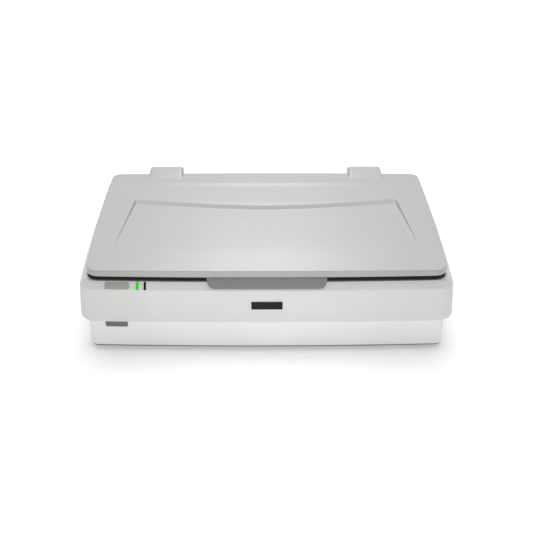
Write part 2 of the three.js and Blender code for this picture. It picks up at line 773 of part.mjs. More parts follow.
// Small belt pulley, journal and reduction wheel in one moulding, along y.
function drivePulley() {
  const { y, r, width } = BELT;
  const half = width / 2 + 0.4;
  return join(
    bar("y", r, -half, half, 0, 0),
    bar("y", r + 1.8, -half - 1, -half + 0.01, 0, 0),
    bar("y", 4.5, half - 1, BIG_WHEEL.y - y, 0, 0, 16),
    bar("y", BIG_WHEEL.r, BIG_WHEEL.y - y - 2.9, BIG_WHEEL.y - y + 2.9, 0, 0, 32),
  );
}

function idlerPulley() {
  const half = BELT.width / 2 + 0.4;
  const wheel = join(
    bar("y", BELT.r, -half, half, 0, 0),
    bar("y", BELT.r + 1.8, -half - 1, -half + 0.01, 0, 0),
  );
  return cut(wheel, bar("y", 3.3, -half - 2, half + 1, 0, 0, 16));
}

function idlerBracket() {
  const plateY = BELT.y + BELT.width / 2 + 1.2;
  return join(
    block(-9, 10, plateY, plateY + 2, FLOOR + GAP, BELT.z + 12),
    block(-9, 10, plateY - 12, plateY + 2, FLOOR + GAP, FLOOR + 2.3),
    block(8, 10, plateY, 208, SPRING.z - 5, SPRING.z + 5),
    bar("y", 2.9, BELT.y - 5, plateY + 1, 0, BELT.z, 16),
  );
}

function motorBracket() {
  const [front, rear] = [BELT.y + BELT.width / 2 + 1.1, BELT.y + BELT.width / 2 + 3.1];
  const tall = block(-306, -270, front, rear, FLOOR + GAP, 96);
  const plate = block(-306, -240, front, rear, FLOOR + GAP, 64);
  const flange = block(-284, -240, front - 20, rear, FLOOR + GAP, FLOOR + 2.3);
  return cut(
    join(tall, plate, flange),
    bar("y", 4.8, front - 1, rear + 1, BELT.left, BELT.z, 16),
    bar("y", 4, front - 1, rear + 1, MOTOR.x, MOTOR.z, 16),
  );
}

function stepperMotor() {
  const front = BELT.y + BELT.width / 2 + 1.1 - GAP;
  const can = new THREE.BoxGeometry(39, 34, 39).translate(0, front - 17, 0);
  return join(can, bar("y", 2.4, front - 1, front + 11, 0, 0, 16));
}

const motorPulley = () =>
  cut(
    join(
      bar("y", MOTOR.pulleyR, -2.9, 2.9, 0, 0),
      bar("y", MOTOR.pulleyR + 1.4, -3.6, -2.89, 0, 0),
    ),
    bar("y", 2.75, -5, 4, 0, 0, 16),
  );

// A coil spring along x that pushes the idler bracket outwards.
function tensionSpring() {
  const coil = { turns: 5, r: 4, length: SPRING.length, wire: 1 };
  class Helix extends THREE.Curve {
    getPoint(t, target = new THREE.Vector3()) {
      const a = 2 * Math.PI * coil.turns * t;
      return target.set(coil.length * (t - 0.5), coil.r * Math.cos(a), coil.r * Math.sin(a));
    }
  }
  const section = new THREE.Shape();
  section.absarc(0, 0, coil.wire / 2, 0, 2 * Math.PI);
  return new THREE.ExtrudeGeometry(section, {
    steps: coil.turns * 10,
    curveSegments: 3,
    extrudePath: new Helix(),
  });
}

// ---------------------------------------------------------------- electronics
function powerSupply() {
  const base = block(130, 292, 90, 182, FLOOR + 4, FLOOR + 6);
  const can = block(140, 282, 96, 176, FLOOR + 5, 46);
  const legs = [136, 286].flatMap((x) =>
    [96, 176].map((y) => block(x - 4, x + 4, y - 4, y + 4, FLOOR + GAP, FLOOR + 5)),
  );
  return join(base, can, ...legs);
}

function mainBoard() {
  const board = block(-150, 110, 30, 190, FLOOR + 4, FLOOR + 5.6);
  const chip = (x, y, w, d, h) => block(x, x + w, y, y + d, FLOOR + 5, FLOOR + 5.6 + h);
  const legs = [-144, 104].flatMap((x) =>
    [36, 184].map((y) => block(x - 4, x + 4, y - 4, y + 4, FLOOR + GAP, FLOOR + 5)),
  );
  return join(
    board,
    ...legs,
    chip(-40, 90, 32, 32, 2),
    chip(20, 60, 22, 22, 2),
    chip(-100, 130, 26, 14, 3),
    chip(60, 140, 30, 22, 12),
    chip(-60, 56, 6, 32, 6),
  );
}

// The front panel's board, which carries the start switch and the two lamps.
const CONTROL_BOARD = { front: -208, rear: -206.4 };
const controlBoard = () =>
  join(
    block(-290, -196, CONTROL_BOARD.front, CONTROL_BOARD.rear, 70, 117),
    block(START_X - 4, START_X + 4, CONTROL_BOARD.front - 1.5, CONTROL_BOARD.rear + 1, 110, 118.6),
  );

// A flat ribbon, folded once under the parked carriage.
function carriageCable() {
  const { y, width, thick } = CABLE;
  const [low, high, fold] = [FLOOR + 6.2, 52, -268];
  const turn = (high - low) / 2;
  const middle = [
    [-60.4, low + 2.6],
    [-72, low + 0.5],
    [-84, low],
  ];
  for (let i = 0; i <= 8; i++) {
    const a = -Math.PI / 2 - (Math.PI * i) / 8;
    middle.push([fold + turn * Math.cos(a), low + turn + turn * Math.sin(a)]);
  }
  middle.push([PARK_X - 4, high], [PARK_X + 6, high + 3], [PARK_X + 10, CARRIAGE.bottom - GAP]);
  const offset = (side) =>
    middle.map(([x, z], i) => {
      const [ax, az] = middle[Math.max(0, i - 1)];
      const [bx, bz] = middle[Math.min(middle.length - 1, i + 1)];
      const l = Math.hypot(bx - ax, bz - az);
      return new THREE.Vector2(x - (side * (bz - az)) / l, z + (side * (bx - ax)) / l);
    });
  const shape = new THREE.Shape([...offset(thick / 2), ...offset(-thick / 2).reverse()]);
  const strip = new THREE.ExtrudeGeometry(shape, { depth: width, bevelEnabled: false });
  return strip.rotateX(Math.PI / 2).translate(0, y + width, 0);
}

// ---------------------------------------------------------------- assembly
const hinges = ["left", "right"].map((side) =>
  group(
    [side === "left" ? -HINGE_X : HINGE_X, 0, 0],
    piece(`hinge_socket_${side}`, hingeSocket(), MATERIAL.black),
    piece(`hinge_post_${side}`, hingePost(), MATERIAL.case),
    piece(`hinge_pin_${side}`, hingePin(), MATERIAL.steel),
    piece(`hinge_leaf_${side}`, hingeLeaf(), MATERIAL.steel),
    piece(`hinge_cover_${side}`, hingeCover(), MATERIAL.lid),
  ),
);

const carriage = group(
  [PARK_X, 0, 0],
  piece("carriage_housing", carriageHousing(), MATERIAL.black),
  piece("rod_bush_left", rodBush(), MATERIAL.brass, [-CARRIAGE.half + 7, ROD.y, ROD.z]),
  piece("rod_bush_right", rodBush(), MATERIAL.brass, [CARRIAGE.half - 7, ROD.y, ROD.z]),
  piece("lamp_bar", lampBar(), MATERIAL.lamp),
  piece("fold_mirror", foldMirror(), MATERIAL.mirror),
  piece("lens_block", lensBlock(), MATERIAL.black),
  piece("sensor_board", sensorBoard(), MATERIAL.board),
  piece("belt_clamp", beltClamp(), MATERIAL.black),
);

const drive = group(
  [0, 0, 0],
  piece("guide_rod", guideRod(), MATERIAL.steel),
  piece("guide_rail", guideRail(), MATERIAL.steel),
  piece("rod_clamp_left", rodClamp(), MATERIAL.black, [-301, 0, 0]),
  piece("rod_clamp_right", rodClamp(), MATERIAL.black, [301, 0, 0]),
  piece("drive_belt", driveBelt(), MATERIAL.rubber, [0, BELT.y, 0]),
  piece("reduction_belt", reductionBelt(), MATERIAL.rubber, [0, BIG_WHEEL.y, 0]),
  piece("drive_pulley", drivePulley(), MATERIAL.can, [BELT.left, BELT.y, BELT.z]),
  piece("idler_pulley", idlerPulley(), MATERIAL.can, [BELT.right, BELT.y, BELT.z]),
  piece("idler_bracket", idlerBracket(), MATERIAL.steel, [BELT.right, 0, 0]),
  piece("tension_spring", tensionSpring(), MATERIAL.steel, [
    SPRING.left + SPRING.length / 2 + 0.5,
    203,
    SPRING.z,
  ]),
  piece("motor_bracket", motorBracket(), MATERIAL.steel),
  piece("stepper_motor", stepperMotor(), MATERIAL.can, [MOTOR.x, 0, MOTOR.z]),
  piece("motor_pulley", motorPulley(), MATERIAL.brass, [MOTOR.x, BIG_WHEEL.y, MOTOR.z]),
);

const scanner = group(
  [0, 0, 0],
  lowerCase(),
  ...FEET.map(([name, x, y]) => foot(name, x, y)),
  ...SCREWS.map(([name, x, y]) => caseScrew(name, x, y)),
  upperCase(),
  platenGlass(),
  rulerFrame(),
  badgePlate(),
  startButton(),
  powerButton(),
  facetLight("ready_light", READY_LIGHT, MATERIAL.ready),
  facetLight("error_light", ERROR_LIGHT, MATERIAL.error),
  socket("mains_inlet", SOCKETS.mains, 3, [12, 8.3, 16]),
  socket("usb_socket", SOCKETS.usb, 1.5, [4.3, 3.9, 12]),
  socket("option_socket", SOCKETS.option, 2.5, [19, 3.6, 7]),
  transportLock(),
  lidShell(),
  lidLiner(),
  documentMat(),
  lidHandle(),
  ...hinges,
  carriage,
  drive,
  piece("power_supply", powerSupply(), MATERIAL.can),
  piece("main_board", mainBoard(), MATERIAL.board),
  piece("control_board", controlBoard(), MATERIAL.board),
  piece("carriage_cable", carriageCable(), MATERIAL.ribbon),
);

export default scanner;
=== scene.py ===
import json
import math
import random

import bmesh
import bpy
from mathutils import Matrix, Vector

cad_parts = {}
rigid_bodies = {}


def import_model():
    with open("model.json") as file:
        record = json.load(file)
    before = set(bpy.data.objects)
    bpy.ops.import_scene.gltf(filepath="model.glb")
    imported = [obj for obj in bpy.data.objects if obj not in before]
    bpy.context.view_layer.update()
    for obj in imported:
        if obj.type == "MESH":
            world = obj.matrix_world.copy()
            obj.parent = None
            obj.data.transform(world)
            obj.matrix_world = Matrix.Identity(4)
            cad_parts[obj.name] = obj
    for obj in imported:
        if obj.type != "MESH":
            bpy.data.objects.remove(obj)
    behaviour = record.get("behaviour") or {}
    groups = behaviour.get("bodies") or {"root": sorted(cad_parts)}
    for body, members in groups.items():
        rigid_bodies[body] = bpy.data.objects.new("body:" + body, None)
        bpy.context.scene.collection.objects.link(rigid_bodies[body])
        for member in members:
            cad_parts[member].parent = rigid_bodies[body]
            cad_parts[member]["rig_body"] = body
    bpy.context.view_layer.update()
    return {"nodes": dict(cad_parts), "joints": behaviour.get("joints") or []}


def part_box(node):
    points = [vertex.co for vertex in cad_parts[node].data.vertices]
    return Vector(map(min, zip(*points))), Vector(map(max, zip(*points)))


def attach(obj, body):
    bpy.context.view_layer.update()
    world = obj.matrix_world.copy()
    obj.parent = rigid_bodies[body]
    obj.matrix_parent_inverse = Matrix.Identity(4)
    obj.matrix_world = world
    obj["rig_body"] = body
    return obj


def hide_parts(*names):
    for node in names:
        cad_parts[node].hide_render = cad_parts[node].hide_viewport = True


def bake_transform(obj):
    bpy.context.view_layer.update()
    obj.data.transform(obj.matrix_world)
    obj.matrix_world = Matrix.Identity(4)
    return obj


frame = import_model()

MM = 0.001
X, Y, Z = Vector((1, 0, 0)), Vector((0, 1, 0)), Vector((0, 0, 1))

# ---------------------------------------------------------------- sizes read from the frame
CASE_LOW, CASE_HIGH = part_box("upper_case")
BASE_LOW, BASE_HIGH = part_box("lower_case")
LID_LOW, LID_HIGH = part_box("lid_shell")
LINER_LOW, LINER_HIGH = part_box("lid_liner")
HANDLE_LOW, HANDLE_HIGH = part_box("lid_handle")
GLASS_LOW, GLASS_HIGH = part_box("platen_glass")
RULER_LOW, RULER_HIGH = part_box("ruler_frame")
HINGE = {side: sum(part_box(f"hinge_pin_{side}"), Vector()) / 2 for side in ("left", "right")}
JOINTS = {joint["name"]: joint for joint in frame["joints"]}
PIVOT = Vector(JOINTS["lid_tilt"]["pos_m"])

HALF = CASE_HIGH.x
FRONT = CASE_LOW.y
REAR = CASE_HIGH.y
SEAM = CASE_LOW.z
DECK = CASE_HIGH.z
LID_TOP = 153 * MM
LIP = LID_LOW.z

# ---------------------------------------------------------------- shapes that the frame's boxes don't give
BOW = 7 * MM  # how far the front corners sit behind the middle of the front
SIDE_BOW = 7.5 * MM  # how far each side comes in towards the front
SIDE_BEND = 50 * MM  # where the sides start to come in
SIDE_DRAFT = 3 * MM  # how far each side wall leans in from its foot to the shoulder
FACET = (8 * MM, 13 * MM)  # run and rise of the sloping facet at the top of the upper case
WALL = 2.5 * MM
# The tray's near-black paint stands in for the shadow in the gap under the lid, and its skirt carries that
# painted shadow forward under the lid's rim.
SKIRT = 2.5 * MM  # how far the dark tray widens under the front and the sides of the lid
CASE_RADIUS = (28 * MM, 20 * MM)  # front and rear corners, in plan
LID_RADIUS = (22 * MM, 18 * MM)
WINDOW_MARGIN = 10 * MM  # how far the glass reaches under the deck
WINDOW = (GLASS_HIGH.x - WINDOW_MARGIN, GLASS_LOW.y + 9 * MM, GLASS_HIGH.y - 9 * MM)


# ---------------------------------------------------------------- mesh helpers
class Shape:
    """Closed bodies gathered into one piece, each with its own finish from a list."""

    def __init__(self):
        self.verts = []
        self.faces = []
        self.paint = []

    def add(self, body, matrix=None, paint=0):
        verts, faces = body
        start = len(self.verts)
        place = matrix or Matrix.Identity(4)
        self.verts += [place @ Vector(v) for v in verts]
        self.faces += [[start + i for i in face] for face in faces]
        self.paint += [paint] * len(faces)
        return self

    def object(self, name, finishes=()):
        mesh = bpy.data.meshes.new(name)
        mesh.from_pydata([tuple(v) for v in self.verts], [], self.faces)
        for finish in finishes:
            mesh.materials.append(finish)
        mesh.polygons.foreach_set("material_index", self.paint)
        bm = bmesh.new()
        bm.from_mesh(mesh)
        bmesh.ops.recalc_face_normals(bm, faces=bm.faces)
        bm.to_mesh(mesh)
        bm.free()
        made = bpy.data.objects.new(name, mesh)
        bpy.context.scene.collection.objects.link(made)
        return made

    def piece(self, name, finishes, body, slot, replaces=(), soften=35, cuts=None, round_to=0):
        made = self.object(name, finishes)
        if cuts:
            subtract(made, cuts)
        shade(made, soften)
        if round_to:
            bevel(made, round_to)
        return settle(made, body, replaces)


def settle(made, body, replaces=()):
    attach(made, body)
    if replaces:
        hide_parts(*([replaces] if isinstance(replaces, str) else replaces))
    return made


def shade(made, degrees):
    """Smooth faces, with edges sharper than the angle kept crisp."""
    bm = bmesh.new()
    bm.from_mesh(made.data)
    limit = math.radians(degrees)
    for face in bm.faces:
        face.smooth = True
    for edge in bm.edges:
        edge.smooth = len(edge.link_faces) != 2 or edge.calc_face_angle(0) < limit
    bm.to_mesh(made.data)
    bm.free()


def bevel(made, width, segments=2):
    modifier = made.modifiers.new("rounded edges", "BEVEL")
    modifier.width = width
    modifier.segments = segments
    modifier.limit_method = "ANGLE"
    modifier.angle_limit = math.radians(40)
    modifier.harden_normals = True
    modifier.use_clamp_overlap = True


def subtract(made, cutter_shape):
    """Cuts the bodies of a Shape out of an object."""
    cutter = cutter_shape.object(made.name + ".cutter")
    modifier = made.modifiers.new("cut", "BOOLEAN")
    modifier.operation = "DIFFERENCE"
    modifier.solver = "EXACT"
    modifier.object = cutter
    bpy.context.view_layer.update()
    cut = bpy.data.meshes.new_from_object(made.evaluated_get(bpy.context.evaluated_depsgraph_get()))
    made.modifiers.clear()
    made.data = cut
    bpy.data.objects.remove(cutter)


def refined(node, finish, width=0.4 * MM, segments=2):
    """The CAD node's own form, with its edges rounded."""
    source = frame["nodes"][node]
    bm = bmesh.new()
    bm.from_mesh(source.data)
    bmesh.ops.remove_doubles(bm, verts=bm.verts, dist=0.001 * MM)
    bmesh.ops.dissolve_limit(bm, angle_limit=math.radians(1), verts=bm.verts, edges=bm.edges)
    mesh = bpy.data.meshes.new(node + "_part")
    bm.to_mesh(mesh)
    bm.free()
    mesh.materials.append(finish)
    made = bpy.data.objects.new(node + "_part", mesh)
    bpy.context.scene.collection.objects.link(made)
    shade(made, 30)
    bevel(made, width, segments)
    return settle(made, source["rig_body"], node)


def rings(loops, closed=False, cap=True):
    """A body through loops of points, each with the same count. closed joins the last to the first."""
    count = len(loops[0])
    verts = [p for loop in loops for p in loop]
    faces = []
    last = len(loops) if closed else len(loops) - 1
    for i in range(last):
        a, b = i * count, ((i + 1) % len(loops)) * count
        faces += [[a + j, a + (j + 1) % count, b + (j + 1) % count, b + j] for j in range(count)]
    if cap and not closed:
        faces.append(list(reversed(range(count))))
        faces.append([(len(loops) - 1) * count + j for j in range(count)])
    return verts, faces


def rounded_rectangle(width, height, radius, steps=5):
    points = []
    radius = max(radius, 1e-6)
    for quarter, (sx, sy) in enumerate([(1, -1), (1, 1), (-1, 1), (-1, -1)]):
        cx, cy = sx * (width / 2 - radius), sy * (height / 2 - radius)
        for i in range(steps + 1):
            a = math.pi / 2 * (quarter - 1 + i / steps)
            points.append((cx + radius * math.cos(a), cy + radius * math.sin(a)))
    return points


def slab(size, corner=0.5 * MM, edge=0.3 * MM, steps=4, edge_steps=3):
    """A rounded box about the origin: corner rounds it in plan, edge rounds its top and bottom rims."""
    width, height, depth = size
    levels = []
    for i in range(edge_steps + 1):
        a = math.pi / 2 * i / edge_steps
        levels.append((edge * (1 - math.sin(a)), -depth / 2 + edge * (1 - math.cos(a))))
    levels += [(inset, -z) for inset, z in reversed(levels)]
    loops = []
    for inset, z in levels:
        flat = rounded_rectangle(width - 2 * inset, height - 2 * inset, max(corner - inset, 0.02 * MM), steps)
        loops.append([(x, y, z) for x, y in flat])
    return rings(loops)


def brick(low, high):
    """A sharp box between two corners, for cuts."""
    (x0, y0, z0), (x1, y1, z1) = low, high
    loops = [[(x0, y0, z), (x1, y0, z), (x1, y1, z), (x0, y1, z)] for z in (z0, z1)]
    return rings(loops)


def lathe(profile, steps=48):
    """A turned body about z. The profile is (radius, z) upwards, and closes on the axis or on itself."""
    loops = []
    for radius, z in profile:
        r = max(radius, 1e-7)
        loops.append([(r * math.cos(a), r * math.sin(a), z) for a in turn(steps)])
    return rings(loops)


def tube_ring(outer, inner, low, high, edge=0.2 * MM, steps=48):
    """A turned ring about z with lightly rounded edges."""
    profile = [
        (inner + edge, low),
        (outer - edge, low),
        (outer, low + edge),
        (outer, high - edge),
        (outer - edge, high),
        (inner + edge, high),
        (inner, high - edge),
        (inner, low + edge),
    ]
    loops = [[(r * math.cos(a), r * math.sin(a), z) for a in turn(steps)] for r, z in profile]
    return rings(loops, closed=True)


def rod(radius, low, high, edge=0.3 * MM, steps=32):
    return lathe(
        [(radius - edge, low), (radius, low + edge), (radius, high - edge), (radius - edge, high)], steps
    )


def turn(steps):
    return [2 * math.pi * i / steps for i in range(steps)]


def sweep(path, section, normal=Y):
    """A closed section carried along an open path whose plane has the given normal."""
    loops = []
    for i, point in enumerate(path):
        ahead = Vector(path[min(i + 1, len(path) - 1)]) - Vector(path[max(i - 1, 0)])
        side = ahead.cross(normal).normalized()
        loops.append([tuple(Vector(point) + side * u + normal * v) for u, v in section])
    return rings(loops)


def at(x, y, z):
    return Matrix.Translation((x, y, z))


def facing(axis, place=(0, 0, 0)):
    """Turns local z to an axis, then moves it."""
    quaternion = Vector(axis).to_track_quat("Z", "Y")
    return Matrix.Translation(place) @ quaternion.to_matrix().to_4x4()


def smooth(t):
    t = min(1, max(0, t))
    return t * t * (3 - 2 * t)


# ---------------------------------------------------------------- outlines in plan
def bowed(x, y):
    return y + BOW * (x / HALF) ** 2 * max(0, y / FRONT)


def narrowed(x, y):
    return x * (1 - SIDE_BOW / HALF * (max(0, SIDE_BEND - y) / (SIDE_BEND - FRONT)) ** 2)


def outline(half, front, rear, r_front, r_rear, bow=True):
    """A rounded rectangle with a bowed front, anticlockwise from above, with an even count of points."""
    front_steps, side_steps, rear_steps, corner_steps = 44, 10, 30, 12
    points = []

    def line(a, b, steps):
        for i in range(steps):
            points.append((a[0] + (b[0] - a[0]) * i / steps, a[1] + (b[1] - a[1]) * i / steps))

    def arc(cx, cy, r, start):
        for i in range(corner_steps):
            a = start + math.pi / 2 * i / corner_steps
            points.append((cx + r * math.cos(a), cy + r * math.sin(a)))

    line((-half + r_front, front), (half - r_front, front), front_steps)
    arc(half - r_front, front + r_front, r_front, -math.pi / 2)
    line((half, front + r_front), (half, rear - r_rear), side_steps)
    arc(half - r_rear, rear - r_rear, r_rear, 0)
    line((half - r_rear, rear), (-half + r_rear, rear), rear_steps)
    arc(-half + r_rear, rear - r_rear, r_rear, math.pi / 2)
    line((-half, rear - r_rear), (-half, front + r_front), side_steps)
    arc(-half + r_front, front + r_front, r_front, math.pi)
    return [(narrowed(x, y), bowed(x, y)) for x, y in points] if bow else points


def case_ring(z, side, front=None, rear=None):
    front = side if front is None else front
    rear = side if rear is None else rear
    r_front = max(CASE_RADIUS[0] - side, 3 * MM)
    r_rear = max(CASE_RADIUS[1] - side, 3 * MM)
    return [(x, y, z) for x, y in outline(HALF - side, FRONT + front, REAR - rear, r_front, r_rear)]


def liner_ring(z, inset, wider=0):
    radii = [max(r - 3 * MM - inset + wider, 2 * MM) for r in LID_RADIUS]
    half, front, rear = LINER_HIGH.x - inset + wider, LINER_LOW.y + inset - wider, LINER_HIGH.y - inset
    return [(x, y, z) for x, y in outline(half, front, rear, *radii)]


# ---------------------------------------------------------------- materials
def node(tree, kind, settings=None, **inputs):
    made = tree.nodes.new(kind)
    for key, value in (settings or {}).items():
        setattr(made, key, value)
    for key, value in inputs.items():
        socket = made.inputs[key.replace("_", " ")]
        if isinstance(value, bpy.types.NodeSocket):
            tree.links.new(value, socket)
        else:
            socket.default_value = value
    return made


def shader(name, **inputs):
    """A new material and its node tree, with the shader's constant inputs set on its own sockets."""
    material = bpy.data.materials.new(name)
    material.use_nodes = True
    tree = material.node_tree
    principled = tree.nodes["Principled BSDF"]
    for key, value in inputs.items():
        principled.inputs[key.replace("_", " ")].default_value = value
    return material, tree, principled


def coordinates(tree, scale=(1, 1, 1)):
    place = node(tree, "ShaderNodeTexCoord")
    return node(tree, "ShaderNodeMapping", Vector=place.outputs["Object"], Scale=scale).outputs["Vector"]


def shades(tree, factor, low, high, spread=(0.3, 0.7)):
    """A factor turned into a colour between two."""
    ramp = node(tree, "ShaderNodeValToRGB", Fac=factor)
    for element, position, colour in zip(ramp.color_ramp.elements, spread, (low, high)):
        element.position = position
        element.color = (*colour[:3], 1)
    return ramp.outputs["Color"]


def band(tree, factor, low, high):
    return node(tree, "ShaderNodeMapRange", Value=factor, To_Min=low, To_Max=high).outputs["Result"]


def bump(tree, principled, height, distance, strength=0.5):
    made = node(tree, "ShaderNodeBump", Height=height, Distance=distance, Strength=strength)
    tree.links.new(made.outputs["Normal"], principled.inputs["Normal"])


def tint(colour, share):
    return tuple(max(0, c * share) for c in colour)


def noise(scale, detail):
    return "ShaderNodeTexNoise", "Fac", {}, {"Scale": scale, "Detail": detail}


def finish(
    name, colours, texture, gloss=None, relief=None, spread=(
        0.3, 0.7
    ), grain=None, stretch=(1, 1, 1), **constants
):
    """A material between two colours. Its gloss and relief follow the same texture, or a grain of their own.

    A texture is a node type, its output, its settings and its inputs. relief is a bump's distance, and
    its strength where that isn't the usual one.
    """
    material, tree, principled = shader(name, **constants)
    where = coordinates(tree, stretch)

    def factor(kind, output, settings, inputs):
        return node(tree, kind, settings, Vector=where, **inputs).outputs[output]

    slow = factor(*texture)
    fine = factor(*grain) if grain else slow
    tree.links.new(shades(tree, slow, *colours, spread), principled.inputs["Base Color"])
    if gloss:
        tree.links.new(band(tree, fine, *gloss), principled.inputs["Roughness"])
    if relief:
        bump(tree, principled, fine, *relief)
    return material


def moulded(name, colour, roughness=0.45, depth=0.04 * MM, grain_scale=1600, drift=0.02, shine=0.5):
    """Injection-moulded plastic: an even colour with a slow drift, over a fine spark-eroded grain."""
    colours = (tint(colour, 1 - drift), tint(colour, 1 + drift))
    gloss = (roughness - 0.05, roughness + 0.05)
    grain = noise(grain_scale, 2)
    return finish(
        name, colours, noise(9, 3), gloss, (depth, 0.4), grain=grain, IOR=1.5, Specular_IOR_Level=shine
    )


def lens_plastic(name, colour, glow, shine=0.5):
    """A coloured light window, with a faint diffusing grain behind its gloss."""
    surface = {"Roughness": 0.16, "IOR": 1.49, "Specular_IOR_Level": shine}
    light = {"Emission_Strength": glow, "Emission_Color": (*colour, 1)}
    return finish(name, (tint(colour, 0.85), colour), noise(700, 2), **surface, **light)


def rubber(name, colour=(0.018, 0.018, 0.018)):
    colours = (colour, tint(colour, 1.9))
    return finish(name, colours, noise(240, 5), (0.7, 0.95), (0.08 * MM,), (0.4, 0.75), IOR=1.5)


def metal(name, colour, roughness, stretch=(1, 1, 1), scale=300, depth=0.01 * MM):
    """Bare metal with marks drawn out along the axis whose stretch is least."""
    colours = (tint(colour, 0.86), colour)
    gloss = (roughness - 0.08, roughness + 0.1)
    return finish(name, colours, noise(scale, 4), gloss, (depth,), stretch=stretch, Metallic=1)


def turned(name, colour, roughness):
    """Metal faced on a lathe, with very fine marks."""
    colours = (tint(colour, 0.8), colour)
    gloss = (roughness, roughness + 0.15)
    return finish(name, colours, noise(900, 3), gloss, (0.01 * MM,), Metallic=1)


def float_glass():
    """Clear sheet glass with the green of its iron, and a trace of dust in the gloss."""
    colours = ((0.93, 0.975, 0.955), (0.95, 0.985, 0.97))
    return finish("float glass", colours, noise(14, 6), (0.0, 0.025), IOR=1.52, Transmission_Weight=1)


def sheet_mat():
    """The lid's white reference sheet: matte film over foam, with a very slight pebble."""
    colours = ((0.83, 0.83, 0.81), (0.88, 0.88, 0.865))
    pebble = ("ShaderNodeTexVoronoi", "Distance", {}, {"Scale": 520})
    return finish("white mat", colours, noise(12, 3), (0.55, 0.8), (0.06 * MM, 0.3), grain=pebble, IOR=1.45)


def circuit_board():
    """Green solder resist over copper tracks, which show as slightly lighter ridges."""
    colours = ((0.006, 0.075, 0.03), (0.02, 0.17, 0.07))
    spacing = {"Scale": 60, "Mortar_Size": 0.035, "Brick_Width": 0.7, "Row_Height": 0.13}
    tracks = ("ShaderNodeTexBrick", "Fac", {}, spacing)
    return finish("circuit board", colours, tracks, None, (0.05 * MM,), (0.2, 0.8), IOR=1.5, Roughness=0.32)


def ribbon_film():
    """A flat flexible cable: white film with the lines of its conductors along it."""
    colours = ((0.52, 0.54, 0.56), (0.8, 0.81, 0.8))
    lines = ("ShaderNodeTexWave", "Fac", {"bands_direction": "Y"}, {"Scale": 160, "Distortion": 0.0})
    return finish("ribbon film", colours, lines, None, (0.05 * MM,), (0.25, 0.6), IOR=1.5, Roughness=0.35)


CASE_PLASTIC = moulded("case plastic", (0.665, 0.665, 0.652), 0.42)
# Painted light: the lower case's plastic is made lighter than the upper case's, standing in for the light the
# floor bounces onto it.
BASE_PLASTIC_WITH_PAINTED_BOUNCE = moulded("base plastic with painted bounce light", (0.81, 0.82, 0.81), 0.45)
LID_PLASTIC = moulded("lid plastic", (0.395, 0.395, 0.393), 0.32)
# Painted shadow: near black and dull, standing in for the deep shade in the gap under the lid's rim.
LINER_PAINTED_SHADOW = moulded("liner plastic painted as shadow", (0.006, 0.006, 0.006), 0.6, 0.06 * MM, 900, 0.02, 0.15)
HANDLE_PLASTIC = moulded("handle plastic", (0.225, 0.235, 0.228), 0.4)
LIGHT_KEY = moulded("light key plastic", (0.37, 0.355, 0.33), 0.38)
# Also used as painted shadow: the dark band along the base's lower rounding, standing in for the shadow line
# at the floor.
DARK_KEY_AND_BASE_SHADOW = moulded("dark key plastic and painted base shadow", (0.13, 0.14, 0.14), 0.38)
# Also used as painted shade: the crosses on the screw heads and the vent slots on the supply's cover.
BLACK_PLASTIC_AND_RECESS_SHADE = moulded("black plastic and painted recess shade", (0.02, 0.02, 0.021), 0.5, 0.05 * MM, 1100, 0.1)
BADGE_PLASTIC = moulded("badge plastic", (0.008, 0.008, 0.009), 0.3, 0.005 * MM, 1200, 0.0, 0.15)
RULER_PLASTIC = moulded("ruler plastic", (0.42, 0.43, 0.425), 0.42)
INK = moulded("printed ink", (0.03, 0.03, 0.032), 0.6)
GREEN_LENS = lens_plastic("green lens", (0.0, 0.5, 0.004), 0.62, 0.2)
DARK_LENS = lens_plastic("dark lens", (0.006, 0.003, 0.003), 0.0, 0.15)
RUBBER = rubber("foot rubber")
BELT_RUBBER = rubber("belt rubber", (0.012, 0.012, 0.013))
STEEL = metal("plain steel", (0.6, 0.61, 0.62), 0.34, (0.08, 1, 1))
ZINC = metal("zinc-plated steel", (0.55, 0.57, 0.6), 0.38, (1, 1, 1), 90)
ALUMINIUM = turned("machined aluminium", (0.74, 0.75, 0.76), 0.28)
BRONZE = turned("sintered bronze", (0.6, 0.38, 0.15), 0.35)
MOTOR_PAINT = moulded("motor paint", (0.03, 0.031, 0.034), 0.4, 0.03 * MM, 700)
MIRROR = metal("front-silvered mirror", (0.93, 0.94, 0.95), 0.08, (1, 1, 1), 20, 0)
LAMP = lens_plastic("frosted light bar", (0.82, 0.83, 0.8), 0.05)
GLASS = float_glass()
MAT = sheet_mat()
BOARD = circuit_board()
RIBBON = ribbon_film()
SOLDER = turned("tinned contacts", (0.75, 0.75, 0.73), 0.25)


# ---------------------------------------------------------------- fasteners and small parts
def screw_head(shape, place, axis, radius=2.6 * MM, paint=0, height=1.5 * MM):
    """A pan head standing on a surface, with a cross of slim raised bars in the next finish, which callers
    give as black: painted shade standing in for a cross recess.
    """
    turned_head = facing(axis, place)
    dome = [(radius, 0), (radius, height * 0.35), (radius * 0.86, height * 0.78), (radius * 0.5, height)]
    shape.add(lathe(dome + [(radius * 0.34, height)], 24), turned_head, paint)
    # Painted shade: the cross is drawn as dark bars on the dome, in place of a recess.
    for quarter in range(4):
        arm = Matrix.Rotation(math.pi / 2 * quarter, 4, "Z") @ at(radius * 0.33, 0, height * 0.93)
        shape.add(
            slab((radius * 0.36, radius * 0.16, height * 0.2), 0.05 * MM, 0.02 * MM, 2, 1),
            turned_head @ arm,
            paint + 1,
        )
    return shape


